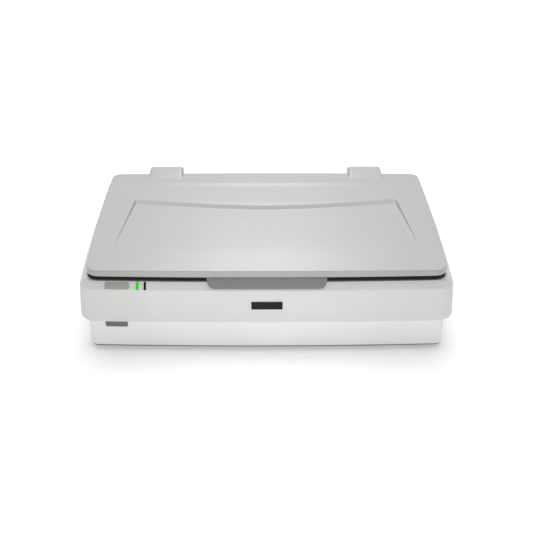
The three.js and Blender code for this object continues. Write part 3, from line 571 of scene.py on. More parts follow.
def chip(shape, place, size, paint, legs=0, leg_paint=0):
    """A board component standing on z = place, with rows of legs along its x sides."""
    width, depth, height = size
    x, y, z = place
    shape.add(slab(size, 0.4 * MM, 0.25 * MM, 2, 2), at(x, y, z + height / 2 + 0.15 * MM), paint)
    for i in range(legs):
        along = x - width / 2 + width * (i + 0.5) / legs
        for side in (-1, 1):
            leg = (0.35 * width / legs, 1.4 * MM, 0.3 * MM)
            spot = at(along, y + side * (depth / 2 + 0.5 * MM), z + 0.2 * MM)
            shape.add(slab(leg, 0.05 * MM, 0.03 * MM, 1, 1), spot, leg_paint)


# ---------------------------------------------------------------- upper case
def facet_frame(x, along=0.5, lift=0):
    """Local x along the facet, y up its slope and z out of it, at x and a share of the way up."""
    run, rise = FACET
    lean = math.atan2(run, rise)
    bend = math.atan(2 * BOW * x / HALF**2)
    start = Vector((x, bowed(x, FRONT + run * along), DECK - rise * (1 - along)))
    spin = Matrix.Rotation(bend, 4, "Z") @ Matrix.Rotation(math.pi / 2 - lean, 4, "X")
    return Matrix.Translation(start) @ spin @ at(0, 0, lift)


START_SIZE = (40 * MM, 10.9 * MM)
LIGHT_SIZES = {"ready_light": (4.3 * MM, 13.8 * MM), "error_light": (3.4 * MM, 13.8 * MM)}
START_X = sum(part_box("start_button"), Vector()).x / 2
POWER_X = sum(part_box("power_button"), Vector()).x / 2


def fillet(a, b, c, radius, steps):
    """Points that round the corner b between a and c, in two dimensions."""
    a, b, c = Vector(a), Vector(b), Vector(c)
    u, v = (a - b).normalized(), (c - b).normalized()
    half_angle = u.angle(v) / 2
    reach = radius / math.tan(half_angle)
    centre = b + (u + v).normalized() * (radius / math.sin(half_angle))
    start, end = b + u * reach - centre, b + v * reach - centre
    whole = start.angle_signed(end)
    points = []
    for i in range(steps + 1):
        spin = Matrix.Rotation(-whole * i / steps, 2)
        points.append(tuple(centre + spin @ start))
    return points


def upper_case():
    run, rise = FACET
    shoulder = DECK - rise
    inner_run = run * 0.81 + 1.3 * WALL

    def draft(z):
        return SIDE_DRAFT * min(1, max(0, (z - SEAM - 5 * MM) / (shoulder - SEAM - 5 * MM)))

    low = [(2.2, 0), (1.2, 0.5), (0.5, 1.6), (0.15, 3), (0, 5)]
    levels = [(inset * MM, SEAM + up * MM) for inset, up in low]
    wall = [(0, shoulder - 20 * MM), (0, shoulder), (run, DECK), (run + 30 * MM, DECK)]
    levels += fillet(*wall[:3], 6 * MM, 6)
    levels += fillet(*wall[1:], 1.6 * MM, 4)
    loops = []
    for inset, z in levels:
        loops.append(case_ring(z, inset + draft(z), inset, min(inset, 3 * MM)))
    loops.append([(x, y, DECK) for x, y in outline(*WINDOW, 3 * MM, 3 * MM, bow=False)])
    half, front, rear = WINDOW
    for drop, grow in ((0.4, -0.4), (2.2, -0.4), (2.5, 0)):
        edge = outline(half + grow * MM, front - grow * MM, rear + grow * MM, 3 * MM, 3 * MM, bow=False)
        loops.append([(x, y, DECK - drop * MM) for x, y in edge])
    inner = [
        (inner_run, DECK - WALL, WALL),
        (WALL, shoulder - MM, WALL),
        (WALL, SEAM + WALL, WALL),
        (7 * MM, SEAM + WALL, 7 * MM),
        (7 * MM, SEAM, 7 * MM),
    ]
    for inset, z, rear in inner:
        loops.append(case_ring(z, inset + draft(z), min(inset, 11 * MM), rear))
    shell = Shape().add(rings(loops, closed=True))

    cuts = Shape()
    clear = 0.6 * MM
    deep = 18 * MM
    openings = [(START_X, START_SIZE)] + [(light_x(name), size) for name, size in LIGHT_SIZES.items()]
    for x, (width, height) in openings:
        hole = slab((width + clear, height + clear, deep), 0.9 * MM, 0.01 * MM, 4, 1)
        cuts.add(hole, facet_frame(x))
    post_y = 216.5 * MM  # middle of the slots that the hinge posts rise through
    for side in ("left", "right"):
        low_post, high_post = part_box(f"hinge_post_{side}")
        half_width = (high_post.x - low_post.x) / 2 + 0.7 * MM
        centre = HINGE[side].x
        size = (2 * half_width, 10 * MM, 12 * MM)
        cuts.add(slab(size, 1.2 * MM, 0.01 * MM, 3, 1), at(centre, post_y, DECK))
    shell.piece("upper_shell", [CASE_PLASTIC], "case", "case_plastic", "upper_case", 25, cuts)


def light_x(name):
    low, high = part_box(name)
    return (low.x + high.x) / 2


# ---------------------------------------------------------------- lower case
SOCKETS = {name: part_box(name) for name in ("mains_inlet", "usb_socket", "option_socket")}
FEET = [f"foot_{end}_{side}" for end in ("front", "rear") for side in ("left", "right")]
SCREWS = [f"case_screw_{end}_{side}" for end in ("front", "rear") for side in ("left", "right")]


def lower_case():
    floor = BASE_LOW.z
    rear = REAR - BASE_HIGH.y
    side = HALF - BASE_HIGH.x
    loops = []
    bottom_round = 6
    for i in range(bottom_round + 1):
        a = math.pi / 2 * i / bottom_round
        out = 1 - math.sin(a)
        z = floor + 5.5 * MM * (1 - math.cos(a))
        loops.append(
            case_ring(z, side + (2.6 + 4.4 * out) * MM, (7.4 + 4.2 * out) * MM, rear + 4.2 * MM * out)
        )
    loops.append(case_ring(SEAM - 0.8 * MM, side, 6 * MM, rear))
    loops.append(case_ring(SEAM - 0.35 * MM, side + 0.45 * MM, 6.45 * MM, rear + 0.45 * MM))
    loops.append(case_ring(SEAM - 0.35 * MM, side + WALL, 6 * MM + WALL, rear + WALL))
    loops.append(case_ring(floor + 8 * MM, side + 5 * MM, 11.5 * MM, rear + WALL))
    loops.append(case_ring(floor + WALL, side + 8 * MM, 15 * MM, rear + 3.5 * MM))
    shell = Shape().add(rings(loops))
    # Bounds of the base's inner underside, which the painted shadow band below leaves out.
    side_edge = BASE_HIGH.x - 24 * MM
    base_middle = (BASE_LOW.y + BASE_HIGH.y) / 2
    depth_edge = (BASE_HIGH.y - BASE_LOW.y) / 2 - 24 * MM

    cuts = Shape()
    outside = BASE_HIGH.y + 4 * MM
    inside = BASE_HIGH.y - 6 * MM
    for name, (low, high) in SOCKETS.items():
        flange = {"mains_inlet": 3, "usb_socket": 1.5, "option_socket": 2.5}[name] * MM - 0.3 * MM
        corner_low = (low.x + flange, inside, low.z + flange)
        corner_high = (high.x - flange, outside, high.z - flange)
        cuts.add(brick(corner_low, corner_high))
    for i in range(8):
        x = -190 * MM + 9 * MM * i
        slot = slab((3.5 * MM, 26 * MM, 14 * MM), 1.6 * MM, 0.01 * MM, 4, 1)
        cuts.add(slot, facing(Y, (x + 1.75 * MM, BASE_HIGH.y, 31 * MM)))
    lock_low, lock_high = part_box("transport_lock")
    travel = JOINTS["transport_lock_slide"]["range_m"][1]
    middle = (lock_low.x + lock_high.x) / 2 + travel / 2
    slot = slab((6 * MM, travel + 7 * MM, 12 * MM), 1.5 * MM, 0.01 * MM, 4, 1)
    cuts.add(
        slot,
        facing(
            Y, (middle, BASE_HIGH.y, (lock_low.z + lock_high.z) / 2)
        ) @ Matrix.Rotation(math.pi / 2, 4, "Z"),
    )
    power_low, power_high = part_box("power_button")
    cuts.add(
        brick(
            (power_low.x - 0.1 * MM, FRONT - 5 * MM, power_low.z - 0.3 * MM),
            (power_high.x + 0.1 * MM, power_high.y, SEAM + MM),
        )
    )
    for name in FEET:
        x, y = foot_centre(name)
        cuts.add(rod(11.2 * MM, floor - 2 * MM, floor + 0.9 * MM, 0.05 * MM, 40), at(x, y, 0))
    for name in SCREWS:
        x, y = foot_centre(name)
        cuts.add(rod(4.9 * MM, floor - 2 * MM, floor + 2.2 * MM, 0.05 * MM, 32), at(x, y, 0))
    for row in range(3):
        for column in range(14):
            slot = slab((3 * MM, 22 * MM, 10 * MM), 1.4 * MM, 0.01 * MM, 3, 1)
            cuts.add(slot, at(150 * MM + 9 * MM * column, (60 + 32 * row) * MM, floor))
    label = slab((92 * MM, 46 * MM, 1.2 * MM), 3 * MM, 0.01 * MM, 4, 1)
    cuts.add(label, at(-60 * MM, 40 * MM, floor))
    made = shell.piece(
        "lower_shell", [BASE_PLASTIC_WITH_PAINTED_BOUNCE, DARK_KEY_AND_BASE_SHADOW], "case", "base_plastic", "lower_case", 28, cuts
    )
    # Painted shadow: the down-facing faces of the lower rounding along the base's outer rim take the second
    # finish, the dark key plastic, as a dark band standing in for the shadow line where the base meets the
    # floor.
    for face in made.data.polygons:
        in_painted_shadow_band = floor < face.center.z < floor + 4 * MM and -0.97 < face.normal.z < -0.25
        if in_painted_shadow_band and max(abs(face.center.x) / side_edge, abs(face.center.y - base_middle) / depth_edge) > 1:
            face.material_index = 1


def foot_centre(name):
    low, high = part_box(name)
    return (low.x + high.x) / 2, (low.y + high.y) / 2


def feet_and_screws():
    for name in FEET:
        x, y = foot_centre(name)
        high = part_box(name)[1].z
        radius = 10 * MM
        profile = [(0, 0.5 * MM), (radius * 0.55, 0.5 * MM), (radius * 0.62, 0), (radius - 0.9 * MM, 0)]
        profile += [(radius - 0.25 * MM, 0.3 * MM), (radius, 0.9 * MM), (radius, high), (0, high + 0.6 * MM)]
        Shape().add(lathe(profile, 56), at(x, y, 0)).piece(name + "_pad", [RUBBER], "case", "rubber", name)
    for name in SCREWS:
        x, y = foot_centre(name)
        low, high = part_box(name)
        shape = Shape()
        screw_head(shape, (x, y, low.z + 2 * MM), -Z, 4.2 * MM, 0, 2 * MM)
        thread = []
        for i in range(44):
            z = low.z + 2 * MM + i * 1 * MM
            thread += [(2.1 * MM, z), (1.6 * MM, z + 0.5 * MM)]
        shape.add(lathe([(0, low.z + 2 * MM)] + thread + [(0, high.z)], 20), at(x, y, 0))
        shape.piece(name + "_set", [ZINC, BLACK_PLASTIC_AND_RECESS_SHADE], "case", "steel", name, 30)
    label = slab((90 * MM, 44 * MM, 0.2 * MM), 3 * MM, 0.05 * MM)
    Shape().add(label, at(-60 * MM, 40 * MM, BASE_LOW.z + 0.45 * MM)).piece(
        "blank_rating_plate", [RULER_PLASTIC], "case", "ruler_plastic"
    )


# ---------------------------------------------------------------- front controls
def start_button():
    depth = 7 * MM
    shape = Shape()
    shape.add(slab((*START_SIZE, depth), 1.4 * MM, 0.5 * MM), facet_frame(START_X, 0.5, MM - depth / 2))
    shape.add(slab((6 * MM, 4 * MM, 6 * MM), 0.4 * MM, 0.2 * MM), facet_frame(START_X, 0.5, -depth - MM))
    shape.piece("start_key", [LIGHT_KEY], "start_button", "light_button", "start_button")


def power_button():
    low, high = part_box("power_button")
    width, height = high.x - low.x, high.z - low.z
    bend = math.atan(2 * BOW * POWER_X / HALF**2)
    front = bowed(POWER_X, FRONT + 6 * MM) - 1.2 * MM
    loops = []
    for back, inset in ((0, 0.5), (0.15, 0.15), (0.5, 0), (12, 0)):
        flat = []
        edge = 2 * inset * MM
        for x, z in rounded_rectangle(width - 0.4 * MM - edge, height - edge, 3.2 * MM):
            if z > 0:
                x = math.copysign(width / 2 - 0.2 * MM - inset * MM, x)
            flat.append((x, back * MM, z))
        loops.append(flat)
    place = Matrix.Translation((POWER_X, front, (low.z + high.z) / 2)) @ Matrix.Rotation(bend, 4, "Z")
    Shape().add(rings(loops), place).piece(
        "power_key", [DARK_KEY_AND_BASE_SHADOW], "power_button", "dark_button", "power_button", 40
    )


def status_lights():
    for name, finish in (("ready_light", GREEN_LENS), ("error_light", DARK_LENS)):
        width, height = LIGHT_SIZES[name]
        depth = 6 * MM
        lens = slab((width, height, depth), 0.8 * MM, 0.35 * MM)
        Shape().add(lens, facet_frame(light_x(name), 0.5, 0.25 * MM - depth / 2)).piece(
            name + "_lens", [finish], "case", "green_lens" if name == "ready_light" else "dark_lens", name
        )


def badge():
    """A blank plate: a raised rim around a slightly sunken field."""
    low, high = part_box("badge_plate")
    size = (high.x - low.x, high.z - low.z, high.y - low.y)
    middle = (low + high) / 2
    shape = Shape().add(slab(size, 1.2 * MM, 0.35 * MM), facing(-Y, middle))
    rim = [[(x, y, z) for x, y in rounded_rectangle(size[0] - i * MM, size[1] - i * MM, 1.1 * MM)]
           for i, z in ((0.9, 0.55 * MM), (1.1, 0.75 * MM), (1.5, 0.75 * MM), (1.7, 0.55 * MM))]
    shape.add(rings(rim, closed=True), facing(-Y, middle))
    shape.piece("blank_badge", [BADGE_PLASTIC], "case", "badge_plastic", "badge_plate")


# ---------------------------------------------------------------- bed
def glass_bed():
    low, high = GLASS_LOW, GLASS_HIGH
    size = high - low
    Shape().add(slab(size, 1.5 * MM, 0.5 * MM), Matrix.Translation((low + high) / 2)).piece(
        "glass_sheet", [GLASS], "case", "glass", "platen_glass"
    )


def ruler():
    """A printed frame around the glass: plain division marks along the front and the left side."""
    low, high = RULER_LOW, RULER_HIGH
    half, front, rear = WINDOW[0] + 0.5 * MM, WINDOW[1] - 0.5 * MM, WINDOW[2] + 0.5 * MM
    loops = []
    for z, grow in ((low.z, 0), (high.z - 0.25 * MM, 0), (high.z, -0.25 * MM)):
        loops.append(
            [(x, y, z) for x, y in outline(high.x + grow, low.y - grow, high.y + grow, 5 * MM, 5 * MM, False)]
        )
    for z, grow in ((high.z, 0.25 * MM), (high.z - 0.25 * MM, 0), (low.z, 0)):
        loops.append(
            [(x, y, z) for x, y in outline(half + grow, front - grow, rear + grow, 2.5 * MM, 2.5 * MM, False)]
        )
    Shape().add(rings(loops, closed=True)).piece(
        "ruler_frame_plate", [RULER_PLASTIC], "case", "ruler_plastic", "ruler_frame", 30
    )
    marks = Shape()
    top = high.z + 0.03 * MM
    thick = 0.1 * MM

    def mark(x, y, width, length):
        marks.add(slab((width, length, thick), 0.02 * MM, 0.01 * MM, 1, 1), at(x, y, top))

    for i in range(85):
        length = 7 if i % 10 == 0 else 5 if i % 5 == 0 else 3
        mark(-WINDOW[0] + 12 * MM + 5 * MM * i, front - 1.2 * MM - length * MM / 2, 0.35 * MM, length * MM)
    for i in range(61):
        length = 7 if i % 10 == 0 else 5 if i % 5 == 0 else 3
        mark(-half - 1.2 * MM - length * MM / 2, WINDOW[1] + 9 * MM + 5 * MM * i, length * MM, 0.35 * MM)
    arrow = [(0, 0), (7, 1.6), (4.6, 2.6), (7.6, 5.6), (5.6, 7.6), (2.6, 4.6), (1.6, 7)]
    cx, cy = -half - 1.5 * MM, rear + 1.5 * MM
    levels = (top - thick / 2, top + thick / 2)
    marks.add(rings([[(cx - x * MM, cy + y * MM, z) for x, y in arrow] for z in levels]))
    marks.piece("ruler_marks", [INK], "case", "ruler_plastic")


# ---------------------------------------------------------------- lid
RIDGE_MIDDLE, RIDGE_CORNER = 43.5 * MM, 76.5 * MM  # y of the curved step, at its middle and its ends
RIDGE_HALF = 252.5 * MM  # half its width
RIDGE_RISE = 1.2 * MM  # height of its crest
RIDGE_CURVE = 1.6  # power of its curve in plan
CREST_ROUND, STEP_ROUND, WALL_ROUND = 0.9 * MM, 0.3 * MM, 0.12 * MM  # softness of the lid's edges
CREASE = 148.5 * MM  # y of the crease behind the raised field
CREASE_STEP = 0.4 * MM
SCOOP_FRONT = -137 * MM  # y where the scoop in front of the step begins
SCOOP_DEPTH, SCOOP_RUN, SCOOP_WALL = 4.0 * MM, 12.5 * MM, 4.0 * MM  # and the length of its slopes
CROWN = 2 * MM  # how far the lid's middle stands above its sides
REAR_FALL = 2 * MM  # how far the lid drops from its crease to its rear edge


def ridge_y(x):
    return RIDGE_MIDDLE + (RIDGE_CORNER - RIDGE_MIDDLE) * min(1, abs(x / RIDGE_HALF) ** RIDGE_CURVE)


def ridge_rise(x):
    return RIDGE_RISE * max(0.15, 1 - 0.85 * (x / RIDGE_HALF) ** 2)


def scoop_side(y):
    """Half width of the scoop at y: it widens a little towards the front."""
    return RIDGE_HALF + 13 * MM * min(1, max(0, (RIDGE_CORNER - y) / (165 * MM)))


def field_side(y):
    """Half width of the raised field behind the ridge, which narrows towards the crease."""
    t = min(1, max(0, (y - RIDGE_CORNER) / (CREASE - RIDGE_CORNER)))
    return RIDGE_HALF - 25 * MM * t**3


def scoop_depth(x, y):
    far = ridge_y(x) - SCOOP_RUN
    return SCOOP_DEPTH * min(1, max(0, (y - SCOOP_FRONT) / (far - SCOOP_FRONT)))


def soft_max(values, radius):
    peak = max(values)
    return peak + radius * math.log(sum(math.exp((v - peak) / radius) for v in values))


def lid_crown(x, y):
    """How far the lid's plain top lies above its flat level."""
    return CROWN * (1 - (x / LID_HIGH.x) ** 2) - REAR_FALL * smooth((y - CREASE) / (LID_HIGH.y - CREASE))


def lid_height(x, y):
    """Height of the lid's top over its flat level."""
    crown = lid_crown(x, y)
    edge, rise = ridge_y(x), ridge_rise(x)
    back = (y - edge) / (CREASE - edge)
    field = rise * (1 - back) - CREASE_STEP * back
    step = rise - (edge - y) * (rise + SCOOP_DEPTH) / SCOOP_RUN
    crest = -soft_max([-field, -step], CREST_ROUND)
    if y >= edge:
        return crown + crest * smooth((field_side(y) - abs(x)) / (3 * MM)) * smooth((CREASE - y) / (2.6 * MM))
    depth = scoop_depth(x, y)
    outside = scoop_side(y) - abs(x)
    if depth <= 0 or outside <= 0:
        return crown
    wall = -outside * SCOOP_DEPTH / SCOOP_WALL
    if depth < 0.3 * MM:
        return crown - min(depth, -wall)
    return crown + soft_max([soft_max([-depth, crest], STEP_ROUND), wall], WALL_ROUND)


def lid_grid():
    """Rows of points over the lid's top, with lines along the ridge, the crease and the scoop's walls."""
    ahead = [0, 0.5, 1, 1.6, 2.4, 3.6, 5.2, 7, 9, 10.6, 11.8, 12.8, 14, 15.4, 17.4, 20.5, 26, 36, 48]
    ahead += [62, 76, 90, 104, 118, 132, 146, 160, 171, 180, 190, 202]
    behind = [0.4, 0.9, 1.5, 2.4, 4, 7, 14, 24, 36, 50, 66, 82]
    beyond = [103.4, 104.2, 105, 105.6, 107, 111, 119, 131]
    shares = [0, 0.1, 0.2, 0.3, 0.4, 0.5, 0.6, 0.7, 0.8, 0.87, 0.92, 0.955, 0.975, 0.99]
    columns = [-s for s in reversed(shares[1:])] + shares
    wall = [1.0, 1.5, 2.0]
    side_steps = [0.25, 1, 3, 6, 12, 22]
    rows = []
    back_span = CREASE - RIDGE_MIDDLE

    def row(y_of):
        points = []
        for s in columns:
            x = 0
            for _ in range(6):
                y = y_of(x)
                x = s * inner_half(y)
            points.append((x, y_of(x)))
        right = []
        for w in wall:
            x = 0
            for _ in range(6):
                y = y_of(x)
                inner, outer = inner_half(y), outer_half(y)
                x = inner + (outer - inner) * (w - 1)
            right.append((x, y_of(x)))
        edge_x = right[-1][0]
        for step in side_steps:
            x = edge_x + step * MM
            right.append((x, y_of(x)))
        left = [(-x, y) for x, y in reversed(right)]
        return left + points + right

    def outer_half(y):
        return scoop_side(y) if y < RIDGE_CORNER else field_side(y)

    def inner_half(y):
        if y < RIDGE_CORNER:
            depth = SCOOP_DEPTH * max(0.08, min(1, (y - SCOOP_FRONT) / (RIDGE_CORNER - SCOOP_FRONT)))
            return scoop_side(y) - SCOOP_WALL * depth / SCOOP_DEPTH
        return field_side(y) - 3 * MM

    for step in reversed(ahead):
        rows.append(row(lambda x, s=step: ridge_y(x) - s * MM))
    for step in behind:
        rows.append(row(lambda x, s=step: ridge_y(x) + s * MM * (CREASE - ridge_y(x)) / back_span))
    for step in beyond:
        rows.append(row(lambda x, s=step: ridge_y(x) + s * MM * (CREASE - ridge_y(x)) / back_span
                        if s * MM <= back_span else CREASE + s * MM - back_span))
    return rows


def lid_outline(rows, inset):
    """The lid's rim at an inset, with one point for each point on the grid's border, anticlockwise."""
    half = LID_HIGH.x - inset
    front, rear = LID_LOW.y + inset, LID_HIGH.y - inset
    radii = [max(r - inset, 2 * MM) for r in LID_RADIUS]
    across, along = len(rows[0]), len(rows)
    turn_steps = 5

    def side(count, start, end, r_start, r_end, heading):
        """Points from the middle of one corner to the middle of the next, without the last."""
        points = []
        forward = Vector((math.cos(heading), math.sin(heading)))
        out = Vector((math.sin(heading), -math.cos(heading)))
        a, b = Vector(start) + forward * r_start, Vector(end) - forward * r_end
        for i in range(count):
            if i < turn_steps:
                angle = math.pi / 4 * (i / turn_steps - 1)
                centre = a - out * r_start
                points.append(centre + r_start * (out * math.cos(angle) + forward * math.sin(angle)))
            elif i > count - turn_steps:
                angle = math.pi / 4 * (i - count + turn_steps) / turn_steps
                centre = b - out * r_end
                points.append(centre + r_end * (out * math.cos(angle) + forward * math.sin(angle)))
            else:
                t = (i - turn_steps) / (count - 2 * turn_steps)
                points.append(a + (b - a) * t)
        return points

    rf, rr = radii
    corners = [(-half, front), (half, front), (half, rear), (-half, rear)]
    loop = side(across - 1, corners[0], corners[1], rf, rf, 0)
    loop += side(along - 1, corners[1], corners[2], rf, rr, math.pi / 2)
    loop += side(across - 1, corners[2], corners[3], rr, rr, math.pi)
    loop += side(along - 1, corners[3], corners[0], rr, rf, -math.pi / 2)
    return [(narrowed(p.x, p.y), bowed(p.x, p.y)) for p in loop]


def lid_shell():
    rows = lid_grid()
    across, along = len(rows[0]), len(rows)
    border = [(0, j) for j in range(across - 1)]
    border += [(i, across - 1) for i in range(along - 1)]
    border += [(along - 1, j) for j in range(across - 1, 0, -1)]
    border += [(i, 0) for i in range(along - 1, 0, -1)]

    verts = [(x, y, LID_TOP + lid_height(x, y)) for r in rows for x, y in r]
    faces = []
    for i in range(along - 1):
        for j in range(across - 1):
            a = i * across + j
            faces.append([a, a + 1, a + across + 1, a + across])
    first = [i * across + j for i, j in border]
    edge_xy = lid_outline(rows, 4.2 * MM)
    inner_xy = [rows[i][j] for i, j in border]
    loops = []
    for share in (0.2, 0.4, 0.6, 0.8, 1.0):
        loops.append([
            (a[0] + (b[0] - a[0]) * share, a[1] + (b[1] - a[1]) * share, 0) for a, b in zip(inner_xy, edge_xy)
        ])
    loops = [[(x, y, LID_TOP + lid_crown(x, y)) for x, y, _ in loop] for loop in loops]
    rim = [
        (2.6, 0),
        (1.3, 0.06),
        (0.75, 0.2),
        (0.35, 0.5),
        (0.1, 0.95),
        (0, 1.5),
        (0, 4),
        (0, 9.6),
        (0.25, 10.2),
        (0.8, 10.5),
    ]
    for inset, drop in rim:
        fall = drop * MM
        fade = 1 - smooth(drop / 6)
        loops.append([
            (x, y, LID_TOP - fall + fade * lid_crown(x, y)) for x, y in lid_outline(rows, inset * MM)
        ])
    inside = [(2.2, 10.5, False), (WALL / MM, 9.9, False), (WALL / MM, 4.2, False), (4.2, 2.6, True)]
    for inset, drop, follows in inside:
        loops.append([
            (x, y, LID_TOP - drop * MM + (lid_crown(x, y) if follows else 0))
            for x, y in lid_outline(rows, inset * MM)
        ])
    for share in (0.6, 0.25):
        loops.append([
            (
                a[0] + (b[0] - a[0]) * share,
                a[1] + (b[1] - a[1]) * share,
                LID_TOP - 2.6 * MM + lid_crown(*a[:2]),
            )
            for a, b in zip(inner_xy, lid_outline(rows, 4.2 * MM))
        ])
    previous = first
    count = len(border)
    for loop in loops:
        start = len(verts)
        verts += loop
        current = list(range(start, start + count))
        for k in range(count):
            n = (k + 1) % count
            faces.append([previous[n], previous[k], current[k], current[n]])
        previous = current
    start = len(verts)
    verts += [(x, y, LID_TOP + lid_height(x, y) - WALL) for r in rows for x, y in r]
    for i in range(along - 1):
        for j in range(across - 1):
            a = start + i * across + j
            faces.append([a, a + across, a + across + 1, a + 1])
    last = [start + i * across + j for i, j in border]
    for k in range(count):
        n = (k + 1) % count
        faces.append([previous[n], previous[k], last[k], last[n]])

    cuts = Shape()
    for pin in HINGE.values():
        cuts.add(
            brick(
                (pin.x - 21 * MM, LID_HIGH.y - 6 * MM, LIP - 2 * MM),
                (pin.x + 21 * MM, LID_HIGH.y + 3 * MM, 150.2 * MM),
            )
        )
    Shape().add((verts, faces)).piece("lid_cover", [LID_PLASTIC], "lid", "lid_plastic", "lid_shell", 24, cuts)


def lid_liner():
    """The tray under the lid, painted near black as the shadow in the gap under its rim, with a shallow well
    for the mat and a rib around it.
    """
    low, high = LINER_LOW.z, LINER_HIGH.z
    skirt = ((0, 2.4), (0.12, 1.3), (0.4, 0.5), (0.9, 0.1), (1.5, 0), (5.9, 0), (6.3, 0.4))
    loops = [liner_ring(low + z * MM, inset * MM, SKIRT) for z, inset in skirt]
    loops.append(liner_ring(low + 6.3 * MM, 0))
    loops.append(liner_ring(high, 0))
    loops.append(liner_ring(high, 2 * MM))
    loops.append(liner_ring(low + 2.4 * MM, 2 * MM))
    tray = Shape().add(rings(loops))
    rib_half, rib_front, rib_rear = WINDOW[0] + 22 * MM, WINDOW[1] - 20 * MM, WINDOW[2] + 20 * MM
    groove = []
    for grow, z in ((0, -0.5), (0, 0.5), (1.6, 0.5), (1.6, -0.5)):
        wider = grow * MM
        flat = outline(rib_half + wider, rib_front - wider, rib_rear + wider, 9 * MM, 9 * MM, False)
        groove.append([(x, y, low + z * MM) for x, y in flat])
    cuts = Shape().add(rings(groove, closed=True))
    tray.piece("lid_tray", [LINER_PAINTED_SHADOW], "lid", "liner_plastic", "lid_liner", 30, cuts)


def document_mat():
    """White sheet over thin foam: crowned a little, its rim drawn down to the tray."""
    low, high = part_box("document_mat")
    size = high - low
    middle = (low + high) / 2
    across, along = 48, 36
    soft = 5 * MM

    def drop(x, y):
        edge = min(size.x / 2 - abs(x), size.y / 2 - abs(y))
        return smooth(edge / soft) ** 0.6

    verts, faces = [], []

    def spread(i, count, half):
        t = 2 * i / count - 1
        return half * math.copysign(1 - (1 - abs(t)) ** 1.6, t) if abs(t) < 1 else half * t

    for level in (0, 1):
        for j in range(along + 1):
            for i in range(across + 1):
                x, y = spread(i, across, size.x / 2), spread(j, along, size.y / 2)
                puff = drop(x, y)
                z = high.z - 0.15 * MM if level else high.z - 0.6 * MM - puff * (size.z - 0.8 * MM)
                verts.append((middle.x + x, middle.y + y, z))
    row = across + 1
    layer = row * (along + 1)
    for j in range(along):
        for i in range(across):
            a = j * row + i
            faces.append([a, a + row, a + row + 1, a + 1])
            faces.append([layer + a, layer + a + 1, layer + a + row + 1, layer + a + row])
    rim = list(range(row)) + [j * row + across for j in range(1, along + 1)]
    rim += [along * row + i for i in range(across - 1, -1, -1)] + [j * row for j in range(along - 1, 0, -1)]
    for k, a in enumerate(rim):
        b = rim[(k + 1) % len(rim)]
        faces.append([a, b, layer + b, layer + a])
    made = Shape().add((verts, faces)).piece("mat_pad", [MAT], "lid", "white_foam", "document_mat", 60)


def lid_handle():
    """The curved lip under the lid's front rim, hollow behind and rounded at its lower corners."""
    half = HANDLE_HIGH.x
    top, tip = HANDLE_HIGH.z, HANDLE_LOW.z
    reach = 11.4 * MM
    thick = 2.8 * MM
    steps = 14
    corner = 13 * MM
    stations = [(half - corner) * (2 * i / 44 - 1) for i in range(45)]
    ends = [(half - corner) + corner * math.sin(math.pi / 2 * i / 14) for i in range(1, 15)]
    stations = [-x for x in reversed(ends)] + stations + ends
    loops = []
    for x in stations:
        over = max(0, abs(x) - (half - corner)) / corner
        share = max(0.03, math.sqrt(max(0, 1 - over**2.2)))
        front, back = [], []
        for i in range(steps):
            s = share * i / (steps - 1)
            y = LID_LOW.y - 0.1 * MM - reach * s**0.85
            z = top - (top - tip) * s
            front.append((x, y, z))
            back.append((x, y + thick, z))
        rounded = front[-1]
        nose = (x, rounded[1] + thick / 2, rounded[2] - 0.3 * MM)
        loop = front + [nose] + list(reversed(back))
        loops.append([(px, bowed(px, py), pz) for px, py, pz in loop])
    Shape().add(rings(loops)).piece(
        "handle_lip", [HANDLE_PLASTIC], "lid", "handle_plastic", "lid_handle", 50, None, 0.5 * MM
    )


# ---------------------------------------------------------------- hinges
def hinge_cover(side):
    """A low wedge that rises from the lid and turns down behind it around the pin."""
    low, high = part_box(f"hinge_cover_{side}")
    centre = HINGE[side].x
    half = (high.x - low.x) / 2
    front, rear, top = low.y, high.y, high.z
    sit = 153.3 * MM
    stations = [half * math.sin(math.pi / 2 * i / 10) for i in range(-10, 11)]
    round_end, corner = 6 * MM, 2.2 * MM

    def profile(x):
        over = max(0, abs(x) - (half - round_end)) / round_end
        sink = 4.6 * MM * (1 - math.sqrt(max(0, 1 - over**2)))
        points = []
        for i in range(13):
            t = i / 12
            y = front + (214 * MM - front) * t
            points.append((y, sit + (top - sit) * smooth(t) - sink * smooth(t)))
        for i in range(7):
            a = math.pi / 2 * i / 6
            points.append((rear - corner + corner * math.sin(a), top - sink - corner * (1 - math.cos(a))))
        points += [
            (229 * MM, 150.8 * MM), (227.6 * MM, 147.4 * MM), (226.3 * MM, PIVOT.z), (224.6 * MM, 138.6 * MM)
        ]
        points += [
            (222.6 * MM, 136.5 * MM), (220.6 * MM, 135.7 * MM), (208.6 * MM, 135.7 * MM), (208.5 * MM, sit)
        ]
        points += [(front, sit - 0.2 * MM)]
        return points

    loops = [[(centre + x, y, z) for y, z in reversed(profile(x))] for x in stations]
    clear, bore = 20.8 * MM, 7.9 * MM
    room = [(207 * MM, 146 * MM), (208.2 * MM, 146 * MM), (208.2 * MM, 130 * MM), (rear + 3 * MM, 130 * MM)]
    room.append((rear + 3 * MM, 147.5 * MM))
    start, end = math.asin(4.5 * MM / bore), math.pi - math.asin(7.1 * MM / bore)
    for i in range(13):
        a = start + (end - start) * i / 12
        room.append((PIVOT.y + bore * math.cos(a), PIVOT.z + bore * math.sin(a)))
    room.append((207 * MM, PIVOT.z + 7.1 * MM))
    cuts = Shape().add(rings([[(x, y, z) for y, z in room] for x in (centre - clear, centre + clear)]))
    Shape().add(rings(loops)).piece(
        f"hinge_housing_{side}", [LID_PLASTIC], "lid", "lid_plastic", f"hinge_cover_{side}", 32, cuts
    )


